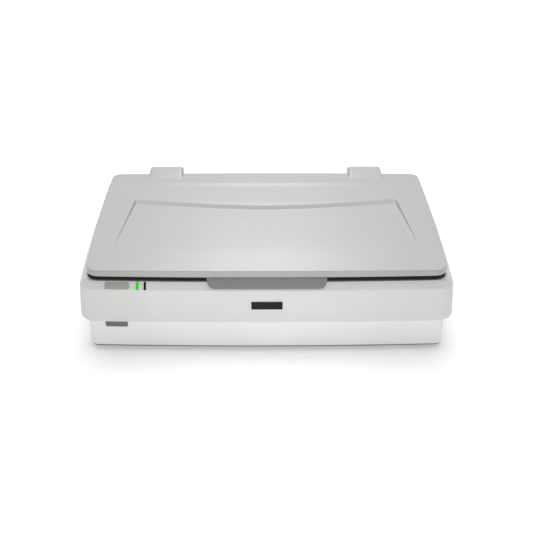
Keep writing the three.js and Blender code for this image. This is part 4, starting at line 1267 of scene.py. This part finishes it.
def hinge(side):
    hinge_cover(side)
    refined(f"hinge_socket_{side}", BLACK_PLASTIC_AND_RECESS_SHADE)
    refined(f"hinge_post_{side}", CASE_PLASTIC, 0.5 * MM)
    refined(f"hinge_leaf_{side}", ZINC, 0.3 * MM)
    low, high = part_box(f"hinge_pin_{side}")
    length = high.x - low.x
    pin = rod(2.5 * MM, -length / 2, length / 2, 0.5 * MM, 40)
    centre = HINGE[side]
    Shape().add(pin, facing(X, centre)).piece(
        f"hinge_rod_{side}", [STEEL], "hinge_posts", "steel", f"hinge_pin_{side}"
    )
    screws = Shape()
    leaf_under = 147 * MM
    for offset in (-12, 12):
        for y in (178, 196):
            screw_head(screws, (centre.x + offset * MM, y * MM, leaf_under), -Z, 2.4 * MM)
    screws.piece(f"hinge_screws_{side}", [ZINC, BLACK_PLASTIC_AND_RECESS_SHADE], "lid", "steel")


# ---------------------------------------------------------------- rear sockets and transport lock
def socket_shell(shape, name, flange, cavity, corner):
    """A flanged body with an open cavity, about the socket's own centre on the rear face."""
    low, high = SOCKETS[name]
    width, height = high.x - low.x, high.z - low.z
    outer = rounded_rectangle(width, height, corner)
    neck = rounded_rectangle(width - 2 * flange, height - 2 * flange, max(corner - flange, 0.6 * MM))
    mouth = rounded_rectangle(cavity[0], cavity[1], 1.5 * MM)
    lead = rounded_rectangle(cavity[0] + 0.8 * MM, cavity[1] + 0.8 * MM, 1.8 * MM)
    face, back = high.y - BASE_HIGH.y, low.y - BASE_HIGH.y
    levels = [(neck, back), (neck, 0.3 * MM), (outer, 0.3 * MM), (outer, face - 0.4 * MM)]
    levels += [([(x * 0.985, z * 0.985) for x, z in outer], face), (lead, face), (mouth, face - 0.5 * MM)]
    levels += [(mouth, face - cavity[2])]
    loops = [[(x, y, z) for x, z in flat] for flat, y in levels]
    centre = Vector(((low.x + high.x) / 2, BASE_HIGH.y, (low.z + high.z) / 2))
    verts, faces = rings(loops)
    shape.add((verts, faces), Matrix.Translation(centre))
    return centre, face


def mains_inlet():
    shape = Shape()
    centre, face = socket_shell(shape, "mains_inlet", 3 * MM, (24 * MM, 16.6 * MM, 16 * MM), 3 * MM)
    for x, z in ((-7, -1.5), (7, -1.5), (0, 2.5)):
        pin = slab((2 * MM, 4 * MM, 13 * MM), 0.3 * MM, 0.4 * MM)
        shape.add(pin, facing(Y, centre + Vector((x * MM, face - 9.6 * MM, z * MM))), 1)
    shape.piece("mains_inlet_body", [BLACK_PLASTIC_AND_RECESS_SHADE, SOLDER], "case", "black_plastic", "mains_inlet", 35)


def usb_socket():
    shape = Shape()
    centre, face = socket_shell(shape, "usb_socket", 1.5 * MM, (8.6 * MM, 7.8 * MM, 12 * MM), 1.5 * MM)
    tongue = slab((5.4 * MM, 3 * MM, 9.5 * MM), 0.3 * MM, 0.2 * MM)
    shape.add(tongue, facing(Y, centre + Vector((0, face - 7.2 * MM, 0))), 1)
    for x in (-1.5, 1.5):
        for z in (-1.6, 1.6):
            contact = slab((0.9 * MM, 0.2 * MM, 7 * MM), 0.05 * MM, 0.04 * MM, 1, 1)
            shape.add(contact, facing(Y, centre + Vector((x * MM, face - 6.4 * MM, z * MM))), 2)
    shape.piece("usb_socket_body", [ZINC, BLACK_PLASTIC_AND_RECESS_SHADE, SOLDER], "case", "black_plastic", "usb_socket", 35)


def option_socket():
    shape = Shape()
    centre, face = socket_shell(shape, "option_socket", 2.5 * MM, (38 * MM, 7.2 * MM, 7 * MM), 2.5 * MM)
    for row in (-1, 1):
        for i in range(13):
            x = (i - 6) * 2.6 * MM
            pin = rod(0.4 * MM, 0, 5 * MM, 0.15 * MM, 12)
            shape.add(pin, facing(Y, centre + Vector((x, face - 7.4 * MM, row * 1.3 * MM))), 1)
    shape.piece("option_socket_body", [BLACK_PLASTIC_AND_RECESS_SHADE, SOLDER], "case", "black_plastic", "option_socket", 35)


def transport_lock():
    low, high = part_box("transport_lock")
    centre = Vector(((low.x + high.x) / 2, BASE_HIGH.y, (low.z + high.z) / 2))
    shape = Shape()
    shape.add(
        slab((10 * MM, 14 * MM, 3.7 * MM), 1 * MM, 0.4 * MM), facing(Y, centre + Vector((0, 2.15 * MM, 0)))
    )
    for i in range(-2, 3):
        grip = slab((0.9 * MM, 11 * MM, 0.6 * MM), 0.3 * MM, 0.2 * MM)
        shape.add(grip, facing(Y, centre + Vector((i * 1.7 * MM, 4 * MM, 0))))
    shape.add(
        slab((6 * MM, 5.2 * MM, 5.5 * MM), 0.4 * MM, 0.1 * MM), facing(Y, centre + Vector((0, -1.75 * MM, 0)))
    )
    keeper_y = low.y + 1.85 * MM - BASE_HIGH.y
    shape.add(
        slab((14 * MM, 12 * MM, 3.7 * MM), 0.8 * MM, 0.3 * MM), facing(Y, centre + Vector((0, keeper_y, 0)))
    )
    shape.piece("transport_slider", [DARK_KEY_AND_BASE_SHADOW], "transport_lock", "dark_button", "transport_lock")


# ---------------------------------------------------------------- carriage
def carriage():
    refined("carriage_housing", BLACK_PLASTIC_AND_RECESS_SHADE, 0.6 * MM)
    refined("belt_clamp", BLACK_PLASTIC_AND_RECESS_SHADE, 0.4 * MM)
    for side in ("left", "right"):
        low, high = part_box(f"rod_bush_{side}")
        length = high.x - low.x
        ring = tube_ring((high.z - low.z) / 2, 5.35 * MM, -length / 2, length / 2, 0.4 * MM)
        Shape().add(ring, facing(X, (low + high) / 2)).piece(
            f"bronze_bush_{side}", [BRONZE], "carriage", "bronze", f"rod_bush_{side}"
        )
    low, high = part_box("lamp_bar")
    size = high - low
    lamp = Shape().add(slab(size, 1 * MM, 1 * MM), Matrix.Translation((low + high) / 2))
    for y in (low.y + 5 * MM, high.y - 5 * MM):
        cap = slab((size.x + 1.4 * MM, 10 * MM, size.z - 0.2 * MM), 0.6 * MM, 0.4 * MM)
        lamp.add(cap, at((low.x + high.x) / 2, y, (low.z + high.z) / 2 - 0.3 * MM), 1)
    lamp.piece("light_bar", [LAMP, BLACK_PLASTIC_AND_RECESS_SHADE], "carriage", "lamp_glass", "lamp_bar")

    low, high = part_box("fold_mirror")
    strip = slab((26 * MM, high.y - low.y, 3 * MM), 0.3 * MM, 0.35 * MM)
    tilt = Matrix.Translation((low + high) / 2) @ Matrix.Rotation(math.pi / 4, 4, "Y")
    Shape().add(strip, tilt).piece("mirror_strip", [MIRROR], "carriage", "mirror", "fold_mirror")

    lens()
    sensor()


def lens():
    low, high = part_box("lens_block")
    middle = (low + high) / 2
    axis_z = high.z - 9 * MM
    shape = Shape()
    foot_height = 74 * MM - low.z
    shape.add(
        slab((20 * MM, 32 * MM, foot_height), 1 * MM, 0.4 * MM),
        at(high.x - 10 * MM, middle.y, low.z + foot_height / 2),
    )
    shape.add(slab((16 * MM, 12 * MM, 6 * MM), 0.6 * MM, 0.2 * MM), at(high.x - 10 * MM, middle.y, 75.5 * MM))
    length = high.x - low.x
    profile = [(6.2, 1.2), (6.6, 0), (8.6, 0), (9, 0.4), (9, 6), (8.4, 6.4), (8.4, 8)]
    profile += [
        (r, z + 8)
        for r, z in (
            (8.9, 0), (8.9, 0.6), (8.5, 0.8), (8.5, 1.2), (8.9, 1.4), (8.9, 2), (8.5, 2.2), (8.5, 2.6)
        )
    ]
    profile += [(9, 11), (9, length / MM - 0.5), (8.5, length / MM), (0, length / MM)]
    barrel = lathe([(0, 1.2 * MM)] + [(r * MM, z * MM) for r, z in profile], 48)
    shape.add(barrel, facing(X, (low.x, middle.y, axis_z)))
    glass = lathe(
        [(0, 0.4 * MM), (3 * MM, 0.6 * MM), (6.1 * MM, 1.4 * MM), (6.1 * MM, 2 * MM), (0, 2 * MM)], 40
    )
    shape.add(glass, facing(X, (low.x, middle.y, axis_z)), 1)
    for offset in (-12, 12):
        screw_head(shape, (high.x - 10 * MM, middle.y + offset * MM, 74 * MM), Z, 1.8 * MM, 2)
    shape.piece(
        "lens_assembly",
        [BLACK_PLASTIC_AND_RECESS_SHADE, BADGE_PLASTIC, ZINC, BLACK_PLASTIC_AND_RECESS_SHADE],
        "carriage",
        "black_plastic",
        "lens_block",
    )


def sensor():
    low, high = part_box("sensor_board")
    size = high - low
    middle = (low + high) / 2
    shape = Shape()
    shape.add(slab((size.y, size.z, size.x - 0.4 * MM), 1 * MM, 0.1 * MM), facing(X, middle))
    strip = slab((52 * MM, 8 * MM, 2.4 * MM), 0.4 * MM, 0.2 * MM)
    shape.add(strip, facing(-X, middle - X * 2 * MM), 1)
    shape.add(slab((44 * MM, 2.4 * MM, 0.3 * MM), 0.2 * MM, 0.05 * MM), facing(-X, middle - X * 3.3 * MM), 2)
    shape.piece(
        "sensor_card", [BOARD, BLACK_PLASTIC_AND_RECESS_SHADE, BADGE_PLASTIC], "carriage", "green_board", "sensor_board"
    )


# ---------------------------------------------------------------- guides and drive
def guides():
    low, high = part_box("guide_rod")
    length = high.x - low.x
    shaft = rod((high.z - low.z) / 2, -length / 2, length / 2, 0.6 * MM, 48)
    Shape().add(shaft, facing(X, (low + high) / 2)).piece("ground_rod", [STEEL], "case", "steel", "guide_rod")
    refined("guide_rail", ZINC, 0.3 * MM)
    for side in ("left", "right"):
        refined(f"rod_clamp_{side}", BLACK_PLASTIC_AND_RECESS_SHADE, 0.5 * MM)
        low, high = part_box(f"rod_clamp_{side}")
        screw = Shape()
        screw_head(screw, ((low.x + high.x) / 2, (low.y + high.y) / 2, high.z), Z, 2.6 * MM)
        screw.piece(f"clamp_screw_{side}", [ZINC, BLACK_PLASTIC_AND_RECESS_SHADE], "case", "steel")


def loop_points(a, r_a, b, r_b, steps=30):
    """A closed line around two circles, in x and z, anticlockwise seen from the front."""
    ax, az = a
    bx, bz = b
    heading = math.atan2(bz - az, bx - ax)
    open_angle = math.acos((r_a - r_b) / math.hypot(bx - ax, bz - az))
    points = []
    for (cx, cz), r, start, end in (
        (a, r_a, heading + open_angle, heading + 2 * math.pi - open_angle),
        (b, r_b, heading - open_angle, heading + open_angle),
    ):
        for i in range(steps + 1):
            t = start + (end - start) * i / steps
            points.append((cx + r * math.cos(t), cz + r * math.sin(t)))
    return points


def belt(name, node_name, a, r_a, b, r_b, thick, pitch):
    """A toothed belt: a plain band with a row of teeth inside it."""
    low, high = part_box(node_name)
    inner_line = loop_points(a, r_a + 0.45 * thick, b, r_b + 0.45 * thick)
    outer_line = loop_points(a, r_a + thick, b, r_b + thick)
    section = [
        (outer_line, low.y + 0.1 * MM),
        (outer_line, high.y - 0.1 * MM),
        (inner_line, high.y - 0.1 * MM),
        (inner_line, low.y + 0.1 * MM),
    ]
    shape = Shape().add(rings([[(x, y, z) for x, z in line] for line, y in section], closed=True))
    total = 0
    spots = []
    count = len(inner_line)
    for i in range(count):
        p, q = Vector(inner_line[i]), Vector(inner_line[(i + 1) % count])
        step = (q - p).length
        while total <= step:
            spots.append((p + (q - p) * (total / step), (q - p).normalized()))
            total += pitch
        total -= step
    width = high.y - low.y - 0.4 * MM
    for spot, along in spots:
        inward = Vector((-along.y, along.x))
        place = Matrix.Translation(
            (spot.x + inward.x * 0.2 * thick, (low.y + high.y) / 2, spot.y + inward.y * 0.2 * thick)
        )
        spin = Matrix.Rotation(-math.atan2(along.y, along.x), 4, "Y")
        shape.add(slab((pitch * 0.45, width, thick * 0.6), 0.1 * MM, 0.12 * thick, 1, 1), place @ spin)
    shape.piece(name, [BELT_RUBBER], "case", "rubber", node_name, 40)


def toothed_wheel(shape, radius, low, high, teeth, bore=0):
    """Teeth with rounded tips around a wheel about z."""
    steps = teeth * 6
    tip, root = radius, radius - 0.55 * MM

    def edge(grow):
        points = []
        for i in range(steps):
            a = 2 * math.pi * i / steps
            wave = 0.5 + 0.5 * math.cos(a * teeth)
            r = root + (tip - root) * min(1, wave * 1.7) - grow
            points.append((r * math.cos(a), r * math.sin(a)))
        return points

    loops = [[(x, y, z) for x, y in edge(grow)] for z, grow in
             ((low, 0.2 * MM), (low + 0.2 * MM, 0), (high - 0.2 * MM, 0), (high, 0.2 * MM))]
    if bore:
        hole = [(bore * math.cos(a), bore * math.sin(a)) for a in turn(steps)]
        loops += [[(x, y, z) for x, y in hole] for z in (high, low)]
        shape.add(rings(loops, closed=True))
    else:
        shape.add(rings(loops))


def pulleys():
    low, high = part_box("drive_pulley")
    hub = Vector(JOINTS["drive_pulley_spin"]["pos_m"])
    big = (high.z - low.z) / 2
    shape = Shape()
    toothed_wheel(shape, 8 * MM, -3.4 * MM, 3.4 * MM, 25)
    shape.add(rod(9.8 * MM, -4.4 * MM, -3.42 * MM, 0.2 * MM, 48))
    shape.add(rod(4.5 * MM, 3.2 * MM, 8 * MM, 0.2 * MM, 32))
    toothed_wheel(shape, big, 7.2 * MM, 13 * MM, 62)
    shape.add(tube_ring(6.5 * MM, 1.6 * MM, 12.9 * MM, 13.05 * MM, 0.05 * MM))
    wheel = Shape().add((shape.verts, shape.faces), facing(Y, hub))
    wheel.piece("compound_pulley", [ALUMINIUM], "drive_pulley", "aluminium", "drive_pulley", 30)

    hub = Vector(JOINTS["idler_pulley_spin"]["pos_m"])
    shape = Shape()
    toothed_wheel(shape, 8 * MM, -3.4 * MM, 3.4 * MM, 25, 3.3 * MM)
    shape.add(tube_ring(9.8 * MM, 3.3 * MM, -4.4 * MM, -3.42 * MM))
    wheel = Shape().add((shape.verts, shape.faces), facing(Y, hub))
    wheel.piece("idler_wheel", [ALUMINIUM], "idler_pulley", "aluminium", "idler_pulley", 30)

    hub = Vector(JOINTS["motor_pulley_spin"]["pos_m"])
    shape = Shape()
    toothed_wheel(shape, 6 * MM, -2.9 * MM, 2.9 * MM, 19, 2.75 * MM)
    shape.add(tube_ring(7.4 * MM, 2.75 * MM, -3.6 * MM, -2.92 * MM))
    wheel = Shape().add((shape.verts, shape.faces), facing(Y, hub))
    wheel.piece("motor_pinion", [BRONZE], "motor_pulley", "bronze", "motor_pulley", 30)


def motor():
    low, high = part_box("stepper_motor")
    hub = Vector(JOINTS["motor_pulley_spin"]["pos_m"])
    width = high.x - low.x
    bracket_low, bracket_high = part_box("motor_bracket")
    body_rear = 196 * MM
    shape = Shape()
    depth = body_rear - low.y
    centre = Vector((hub.x, low.y + depth / 2, hub.z))
    shape.add(slab((width, width, depth - 14 * MM), 3 * MM, 0.2 * MM), facing(Y, centre))
    for end in (-1, 1):
        spot = centre + Y * end * (depth / 2 - 4 * MM)
        shape.add(slab((width - 0.6 * MM, width - 0.6 * MM, 8 * MM), 4.5 * MM, 0.6 * MM), facing(Y, spot), 1)
    shape.add(
        rod(2.4 * MM, 0, high.y - body_rear + MM, 0.3 * MM), facing(Y, (hub.x, body_rear - MM, hub.z)), 2
    )
    shape.add(
        slab((16 * MM, 8 * MM, 6 * MM), 0.6 * MM, 0.3 * MM), at(hub.x, low.y + 8 * MM, low.z - 2.4 * MM), 3
    )
    shape.piece(
        "stepper_body",
        [MOTOR_PAINT, ALUMINIUM, STEEL, RULER_PLASTIC],
        "case",
        "painted_steel",
        "stepper_motor",
    )
    refined("motor_bracket", ZINC, 0.25 * MM)
    refined("idler_bracket", ZINC, 0.25 * MM)
    screws = Shape()
    for dx, dz in ((-15.5, -15.5), (15.5, -15.5), (-15.5, 15.5), (15.5, 15.5)):
        screw_head(screws, (hub.x + dx * MM, bracket_high.y, hub.z + dz * MM), Y, 2.3 * MM)
    flange_top = bracket_low.z + 2 * MM
    for dx in (-14, 14):
        screw_head(screws, (hub.x + dx * MM, bracket_low.y + 8 * MM, flange_top), Z, 2.3 * MM)
    screws.piece("bracket_screws", [ZINC, BLACK_PLASTIC_AND_RECESS_SHADE], "case", "steel")


def spring():
    low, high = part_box("tension_spring")
    centre = (low + high) / 2
    length = high.x - low.x - MM
    coils, radius, wire = 7, 4 * MM, 0.5 * MM
    path = []
    steps = coils * 22
    for i in range(steps + 1):
        a = 2 * math.pi * coils * i / steps
        path.append(Vector((length * (i / steps - 0.5), radius * math.cos(a), radius * math.sin(a))) + centre)
    loops = []
    for i, point in enumerate(path):
        ahead = (path[min(i + 1, steps)] - path[max(i - 1, 0)]).normalized()
        out = (Vector((0, point.y - centre.y, point.z - centre.z))).normalized()
        side = ahead.cross(out)
        loops.append([tuple(point + (out * math.cos(a) + side * math.sin(a)) * wire) for a in turn(8)])
    Shape().add(rings(loops)).piece("coil_spring", [STEEL], "case", "steel", "tension_spring", 60)


def drive():
    left = Vector(JOINTS["drive_pulley_spin"]["pos_m"])
    right = Vector(JOINTS["idler_pulley_spin"]["pos_m"])
    pinion = Vector(JOINTS["motor_pulley_spin"]["pos_m"])
    belt(
        "carriage_belt",
        "drive_belt",
        (left.x, left.z),
        8.4 * MM,
        (right.x, right.z),
        8.4 * MM,
        1.2 * MM,
        2.5 * MM,
    )
    belt(
        "short_belt",
        "reduction_belt",
        (left.x, left.z),
        20.4 * MM,
        (pinion.x, pinion.z),
        6.4 * MM,
        1 * MM,
        2.5 * MM,
    )
    pulleys()
    motor()
    spring()


# ---------------------------------------------------------------- electronics
def power_supply():
    low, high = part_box("power_supply")
    size = high - low
    middle = (low + high) / 2
    shape = Shape()
    base_z = low.z + 4.5 * MM
    shape.add(slab((size.x, size.y, 1.6 * MM), 3 * MM, 0.4 * MM), at(middle.x, middle.y, base_z))
    can_height = high.z - base_z
    shape.add(
        slab((size.x - 20 * MM, size.y - 12 * MM, can_height), 3 * MM, 1 * MM),
        at(middle.x, middle.y, (base_z + high.z) / 2),
    )
    for dx in (-1, 1):
        for dy in (-1, 1):
            x = middle.x + dx * (size.x / 2 - 6 * MM)
            y = middle.y + dy * (size.y / 2 - 6 * MM)
            shape.add(slab((8 * MM, 8 * MM, 4.6 * MM), 1 * MM, 0.2 * MM), at(x, y, low.z + 2.3 * MM))
            screw_head(shape, (x, y, base_z + 0.8 * MM), Z, 2.4 * MM, 1)
    # Painted shade: the vent slots are thin black strips laid on the cover, standing in for the shade inside
    # the slots.
    for i in range(12):
        for j in range(5):
            x = middle.x - 55 * MM + 10 * MM * i
            y = middle.y - 24 * MM + 12 * MM * j
            shape.add(
                slab((2.2 * MM, 8 * MM, 0.3 * MM), 1 * MM, 0.1 * MM, 3, 1),
                at(x, y, high.z + 0.02 * MM - 0.1 * MM),
                2,
            )
    shape.piece(
        "supply_case", [ZINC, ZINC, BLACK_PLASTIC_AND_RECESS_SHADE, BLACK_PLASTIC_AND_RECESS_SHADE], "case", "aluminium", "power_supply"
    )


def main_board():
    low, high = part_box("main_board")
    middle = (low + high) / 2
    size = high - low
    top = low.z + 5.3 * MM
    rng = random.Random(11)
    shape = Shape()
    shape.add(slab((size.x, size.y, 1.6 * MM), 2 * MM, 0.15 * MM), at(middle.x, middle.y, top - 0.8 * MM))
    for dx in (-1, 1):
        for dy in (-1, 1):
            x = middle.x + dx * (size.x / 2 - 6 * MM)
            y = middle.y + dy * (size.y / 2 - 6 * MM)
            shape.add(rod(3.2 * MM, low.z, top - 1.6 * MM, 0.2 * MM, 24), at(x, y, 0), 4)
            screw_head(shape, (x, y, top), Z, 2.6 * MM, 2)
    chip(shape, (-24 * MM, 106 * MM, top), (30 * MM, 30 * MM, 2 * MM), 1, 24, 2)
    chip(shape, (31 * MM, 71 * MM, top), (20 * MM, 20 * MM, 2 * MM), 1, 16, 2)
    chip(shape, (-87 * MM, 137 * MM, top), (25 * MM, 12 * MM, 3 * MM), 1, 14, 2)
    chip(shape, (-57 * MM, 72 * MM, top), (5 * MM, 30 * MM, 5.4 * MM), 5)
    shape.add(slab((29 * MM, 21 * MM, 10 * MM), 0.8 * MM, 0.4 * MM), at(75 * MM, 151 * MM, top + 5.2 * MM), 4)
    for i in range(9):
        fin = slab((1 * MM, 21 * MM, 8 * MM), 0.3 * MM, 0.2 * MM, 1, 1)
        shape.add(fin, at(63 * MM + 3 * MM * i, 151 * MM, top + 6 * MM), 4)
    for i in range(14):
        x, y = rng.uniform(-135, 95) * MM, rng.choice([42, 50, 172, 180]) * MM
        tall = rng.uniform(6, 10) * MM
        shape.add(
            rod(rng.uniform(2, 3.4) * MM, top, top + tall, 0.3 * MM, 24), at(x, y, 0), rng.choice([1, 4])
        )
    for i in range(60):
        x, y = rng.uniform(-140, 100) * MM, rng.uniform(34, 186) * MM
        size_x, size_y = rng.choice([(2, 1.2), (1.2, 2), (3.2, 1.6)])
        shape.add(
            slab((size_x * MM, size_y * MM, 0.8 * MM), 0.1 * MM, 0.1 * MM, 1, 1),
            at(x, y, top + 0.4 * MM),
            rng.choice([1, 2, 5]),
        )
    finishes = [BOARD, BLACK_PLASTIC_AND_RECESS_SHADE, SOLDER, BLACK_PLASTIC_AND_RECESS_SHADE, ALUMINIUM, RULER_PLASTIC]
    shape.piece("main_card", finishes, "case", "green_board", "main_board")


def control_board():
    low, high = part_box("control_board")
    middle = (low + high) / 2
    width, height = high.x - low.x, 117 * MM - low.z
    shape = Shape()
    card_y = -207.2 * MM
    card_z = low.z + height / 2
    shape.add(slab((width, height, 1.6 * MM), 1.5 * MM, 0.15 * MM), facing(-Y, (middle.x, card_y, card_z)))
    shape.add(
        slab((8 * MM, 8.6 * MM, 4 * MM), 0.6 * MM, 0.3 * MM),
        facing(-Y, (START_X, -207.4 * MM, 114.3 * MM)),
        1,
    )
    for x in (light_x("ready_light"), light_x("error_light")):
        shape.add(rod(1.5 * MM, 0, 2.2 * MM, 0.7 * MM, 20), facing(-Y, (x, -208 * MM, 111 * MM)), 2)
    for i in range(7):
        shape.add(
            slab((3 * MM, 1.6 * MM, 0.9 * MM), 0.1 * MM, 0.1 * MM, 1, 1),
            facing(-Y, (middle.x + (i - 3) * 9 * MM, -208.4 * MM, 88 * MM)),
            1,
        )
    shape.piece("front_card", [BOARD, BLACK_PLASTIC_AND_RECESS_SHADE, RULER_PLASTIC], "case", "green_board", "control_board")


def carriage_cable():
    """The flat cable: from the main board along the floor, over one fold, and up to the carriage."""
    low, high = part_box("carriage_cable")
    thick = 0.3 * MM
    floor = low.z + thick
    top = 52 * MM  # height of the upper run
    landing = -84 * MM  # where the cable comes down to the floor
    fold = low.x + (top - floor) / 2 + 0.3 * MM
    radius = (top - floor) / 2
    path = [Vector((high.x - 0.1 * MM, 0, floor + 2.6 * MM)), Vector((-66 * MM, 0, floor + 1.4 * MM))]
    path += [Vector((-72 * MM, 0, floor + 0.5 * MM)), Vector((landing, 0, floor))]
    for i in range(1, 20):
        path.append(Vector((landing + (fold - landing) * i / 20, 0, floor)))
    for i in range(25):
        a = -math.pi / 2 - math.pi * i / 24
        path.append(Vector((fold + radius * math.cos(a), 0, floor + radius + radius * math.sin(a))))
    path += [
        Vector((-256 * MM, 0, top)),
        Vector((-244 * MM, 0, top + 0.3 * MM)),
        Vector((-238 * MM, 0, top + 1.6 * MM)),
    ]
    path += [
        Vector((-233 * MM, 0, top + 4.5 * MM)),
        Vector((-230.6 * MM, 0, top + 8.5 * MM)),
        Vector((-230 * MM, 0, high.z - 0.2 * MM)),
    ]
    width = high.y - low.y
    section = [
        (-thick / 2, -width / 2), (thick / 2, -width / 2), (thick / 2, width / 2), (-thick / 2, width / 2)
    ]
    centre_y = (low.y + high.y) / 2
    path = [p + Y * centre_y for p in path]
    made = Shape().add(sweep(path, section)).object("flat_cable", [RIBBON])
    shade(made, 40)
    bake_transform(made)
    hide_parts("carriage_cable")


# ---------------------------------------------------------------- floor, lights and camera
SKY_LEVEL = 0.55
PATCH_LEVEL = 2.45
SIDE_DIMMING = 0.85  # how much darker the sky is straight to the left and right
PATCH_DIRECTION = (0, 0.5, 0.866)
PATCH_EDGE = (0.55, 0.98)  # cosine of the angle from the patch's middle, at its edge and where it is full


def stage():
    material, tree, principled = shader(
        "studio floor", Roughness=0.9, Specular_IOR_Level=0.1, Emission_Color=(
            1, 1, 1, 1
        ), Emission_Strength=0.14
    )
    where = coordinates(tree)
    paper = node(tree, "ShaderNodeTexNoise", Vector=where, Scale=30, Detail=3)
    tone = shades(tree, paper.outputs["Fac"], (0.965, 0.965, 0.965), (0.975, 0.975, 0.975))
    tree.links.new(tone, principled.inputs["Base Color"])
    mesh = bpy.data.meshes.new("studio_floor")
    far = 12
    mesh.from_pydata([(-far, -far, 0), (far, -far, 0), (far, far, 0), (-far, far, 0)], [], [[0, 1, 2, 3]])
    mesh.materials.append(material)
    floor = bpy.data.objects.new("studio_floor", mesh)
    bpy.context.scene.collection.objects.link(floor)

    studio_sky()
    bpy.context.scene.view_settings.view_transform = "Standard"


def studio_sky():
    """A soft even sky with a broad bright patch high behind the object. Seen directly, it is plain white."""
    world = bpy.data.worlds.new("studio")
    world.use_nodes = True
    tree = world.node_tree
    background = tree.nodes["Background"]
    direction = node(tree, "ShaderNodeTexCoord").outputs["Generated"]
    aim = node(tree, "ShaderNodeVectorMath", {"operation": "DOT_PRODUCT"})
    tree.links.new(direction, aim.inputs[0])
    aim.inputs[1].default_value = PATCH_DIRECTION
    patch = node(tree, "ShaderNodeMapRange", {"interpolation_type": "SMOOTHSTEP"})
    tree.links.new(aim.outputs["Value"], patch.inputs["Value"])
    for socket, value in zip(
        ("From Min", "From Max", "To Min", "To Max"), (*PATCH_EDGE, SKY_LEVEL, PATCH_LEVEL)
    ):
        patch.inputs[socket].default_value = value
    sideways = node(tree, "ShaderNodeSeparateXYZ", Vector=direction).outputs["X"]
    square = node(tree, "ShaderNodeMath", {"operation": "MULTIPLY"})
    tree.links.new(sideways, square.inputs[0])
    tree.links.new(sideways, square.inputs[1])
    dim = node(tree, "ShaderNodeMath", {"operation": "MULTIPLY_ADD"})
    tree.links.new(square.outputs["Value"], dim.inputs[0])
    dim.inputs[1].default_value = -SIDE_DIMMING
    dim.inputs[2].default_value = 1
    sky = node(tree, "ShaderNodeMath", {"operation": "MULTIPLY"})
    tree.links.new(patch.outputs["Result"], sky.inputs[0])
    tree.links.new(dim.outputs["Value"], sky.inputs[1])
    seen = node(tree, "ShaderNodeLightPath").outputs["Is Camera Ray"]
    level = node(tree, "ShaderNodeMix", {"data_type": "FLOAT"})
    tree.links.new(seen, level.inputs["Factor"])
    tree.links.new(sky.outputs["Value"], level.inputs["A"])
    level.inputs["B"].default_value = 1.1
    tree.links.new(level.outputs["Result"], background.inputs["Strength"])
    background.inputs["Color"].default_value = (1, 1, 1, 1)
    bpy.context.scene.world = world


def spot_light(name, place, target, spread, radius, power):
    """A round soft light whose pool fades evenly from its middle."""
    data = bpy.data.lights.new(name, "SPOT")
    data.spot_size = math.radians(spread)
    data.spot_blend = 1
    data.shadow_soft_size = radius
    data.energy = power
    lamp = bpy.data.objects.new(name, data)
    lamp.location = place
    direction = Vector(target) - Vector(place)
    lamp.rotation_euler = direction.to_track_quat("-Z", "Y").to_euler()
    bpy.context.scene.collection.objects.link(lamp)


def lights():
    spot_light("behind", (0, 1.15, 1.15), (0, -0.16, LID_TOP), 30, 0.32, 21)
    spot_light("floor_bounce", (0, -0.72, 2.0), (0, -0.72, 0), 29, 0.05, 130)
    spot_light("front_fill", (0, -2.4, 0.4), (0, FRONT, 0.07), 30, 0.4, 40)


def camera():
    """In front of the scanner, looking down at its front and its lid."""
    data = bpy.data.cameras.new("camera")
    data.lens = 64.8
    data.sensor_width = 36
    data.clip_start = 0.05
    data.clip_end = 60
    made = bpy.data.objects.new("camera", data)
    pitch, turn_right, roll = math.radians(28.49), math.radians(0.42), math.radians(0.1)
    made.location = (-0.0110, -1.6197, 0.925)
    aim = Matrix.Rotation(-turn_right, 3, "Z") @ Matrix.Rotation(math.pi / 2 - pitch, 3, "X")
    made.rotation_euler = (aim @ Matrix.Rotation(roll, 3, "Z")).to_euler()
    bpy.context.scene.collection.objects.link(made)
    bpy.context.scene.camera = made


def build():
    camera()
    stage()
    lights()
    upper_case()
    lower_case()
    feet_and_screws()
    start_button()
    power_button()
    status_lights()
    badge()
    glass_bed()
    ruler()
    lid_shell()
    lid_liner()
    document_mat()
    lid_handle()
    for side in HINGE:
        hinge(side)
    mains_inlet()
    usb_socket()
    option_socket()
    transport_lock()
    carriage()
    guides()
    drive()
    power_supply()
    main_board()
    control_board()
    carriage_cable()


build()
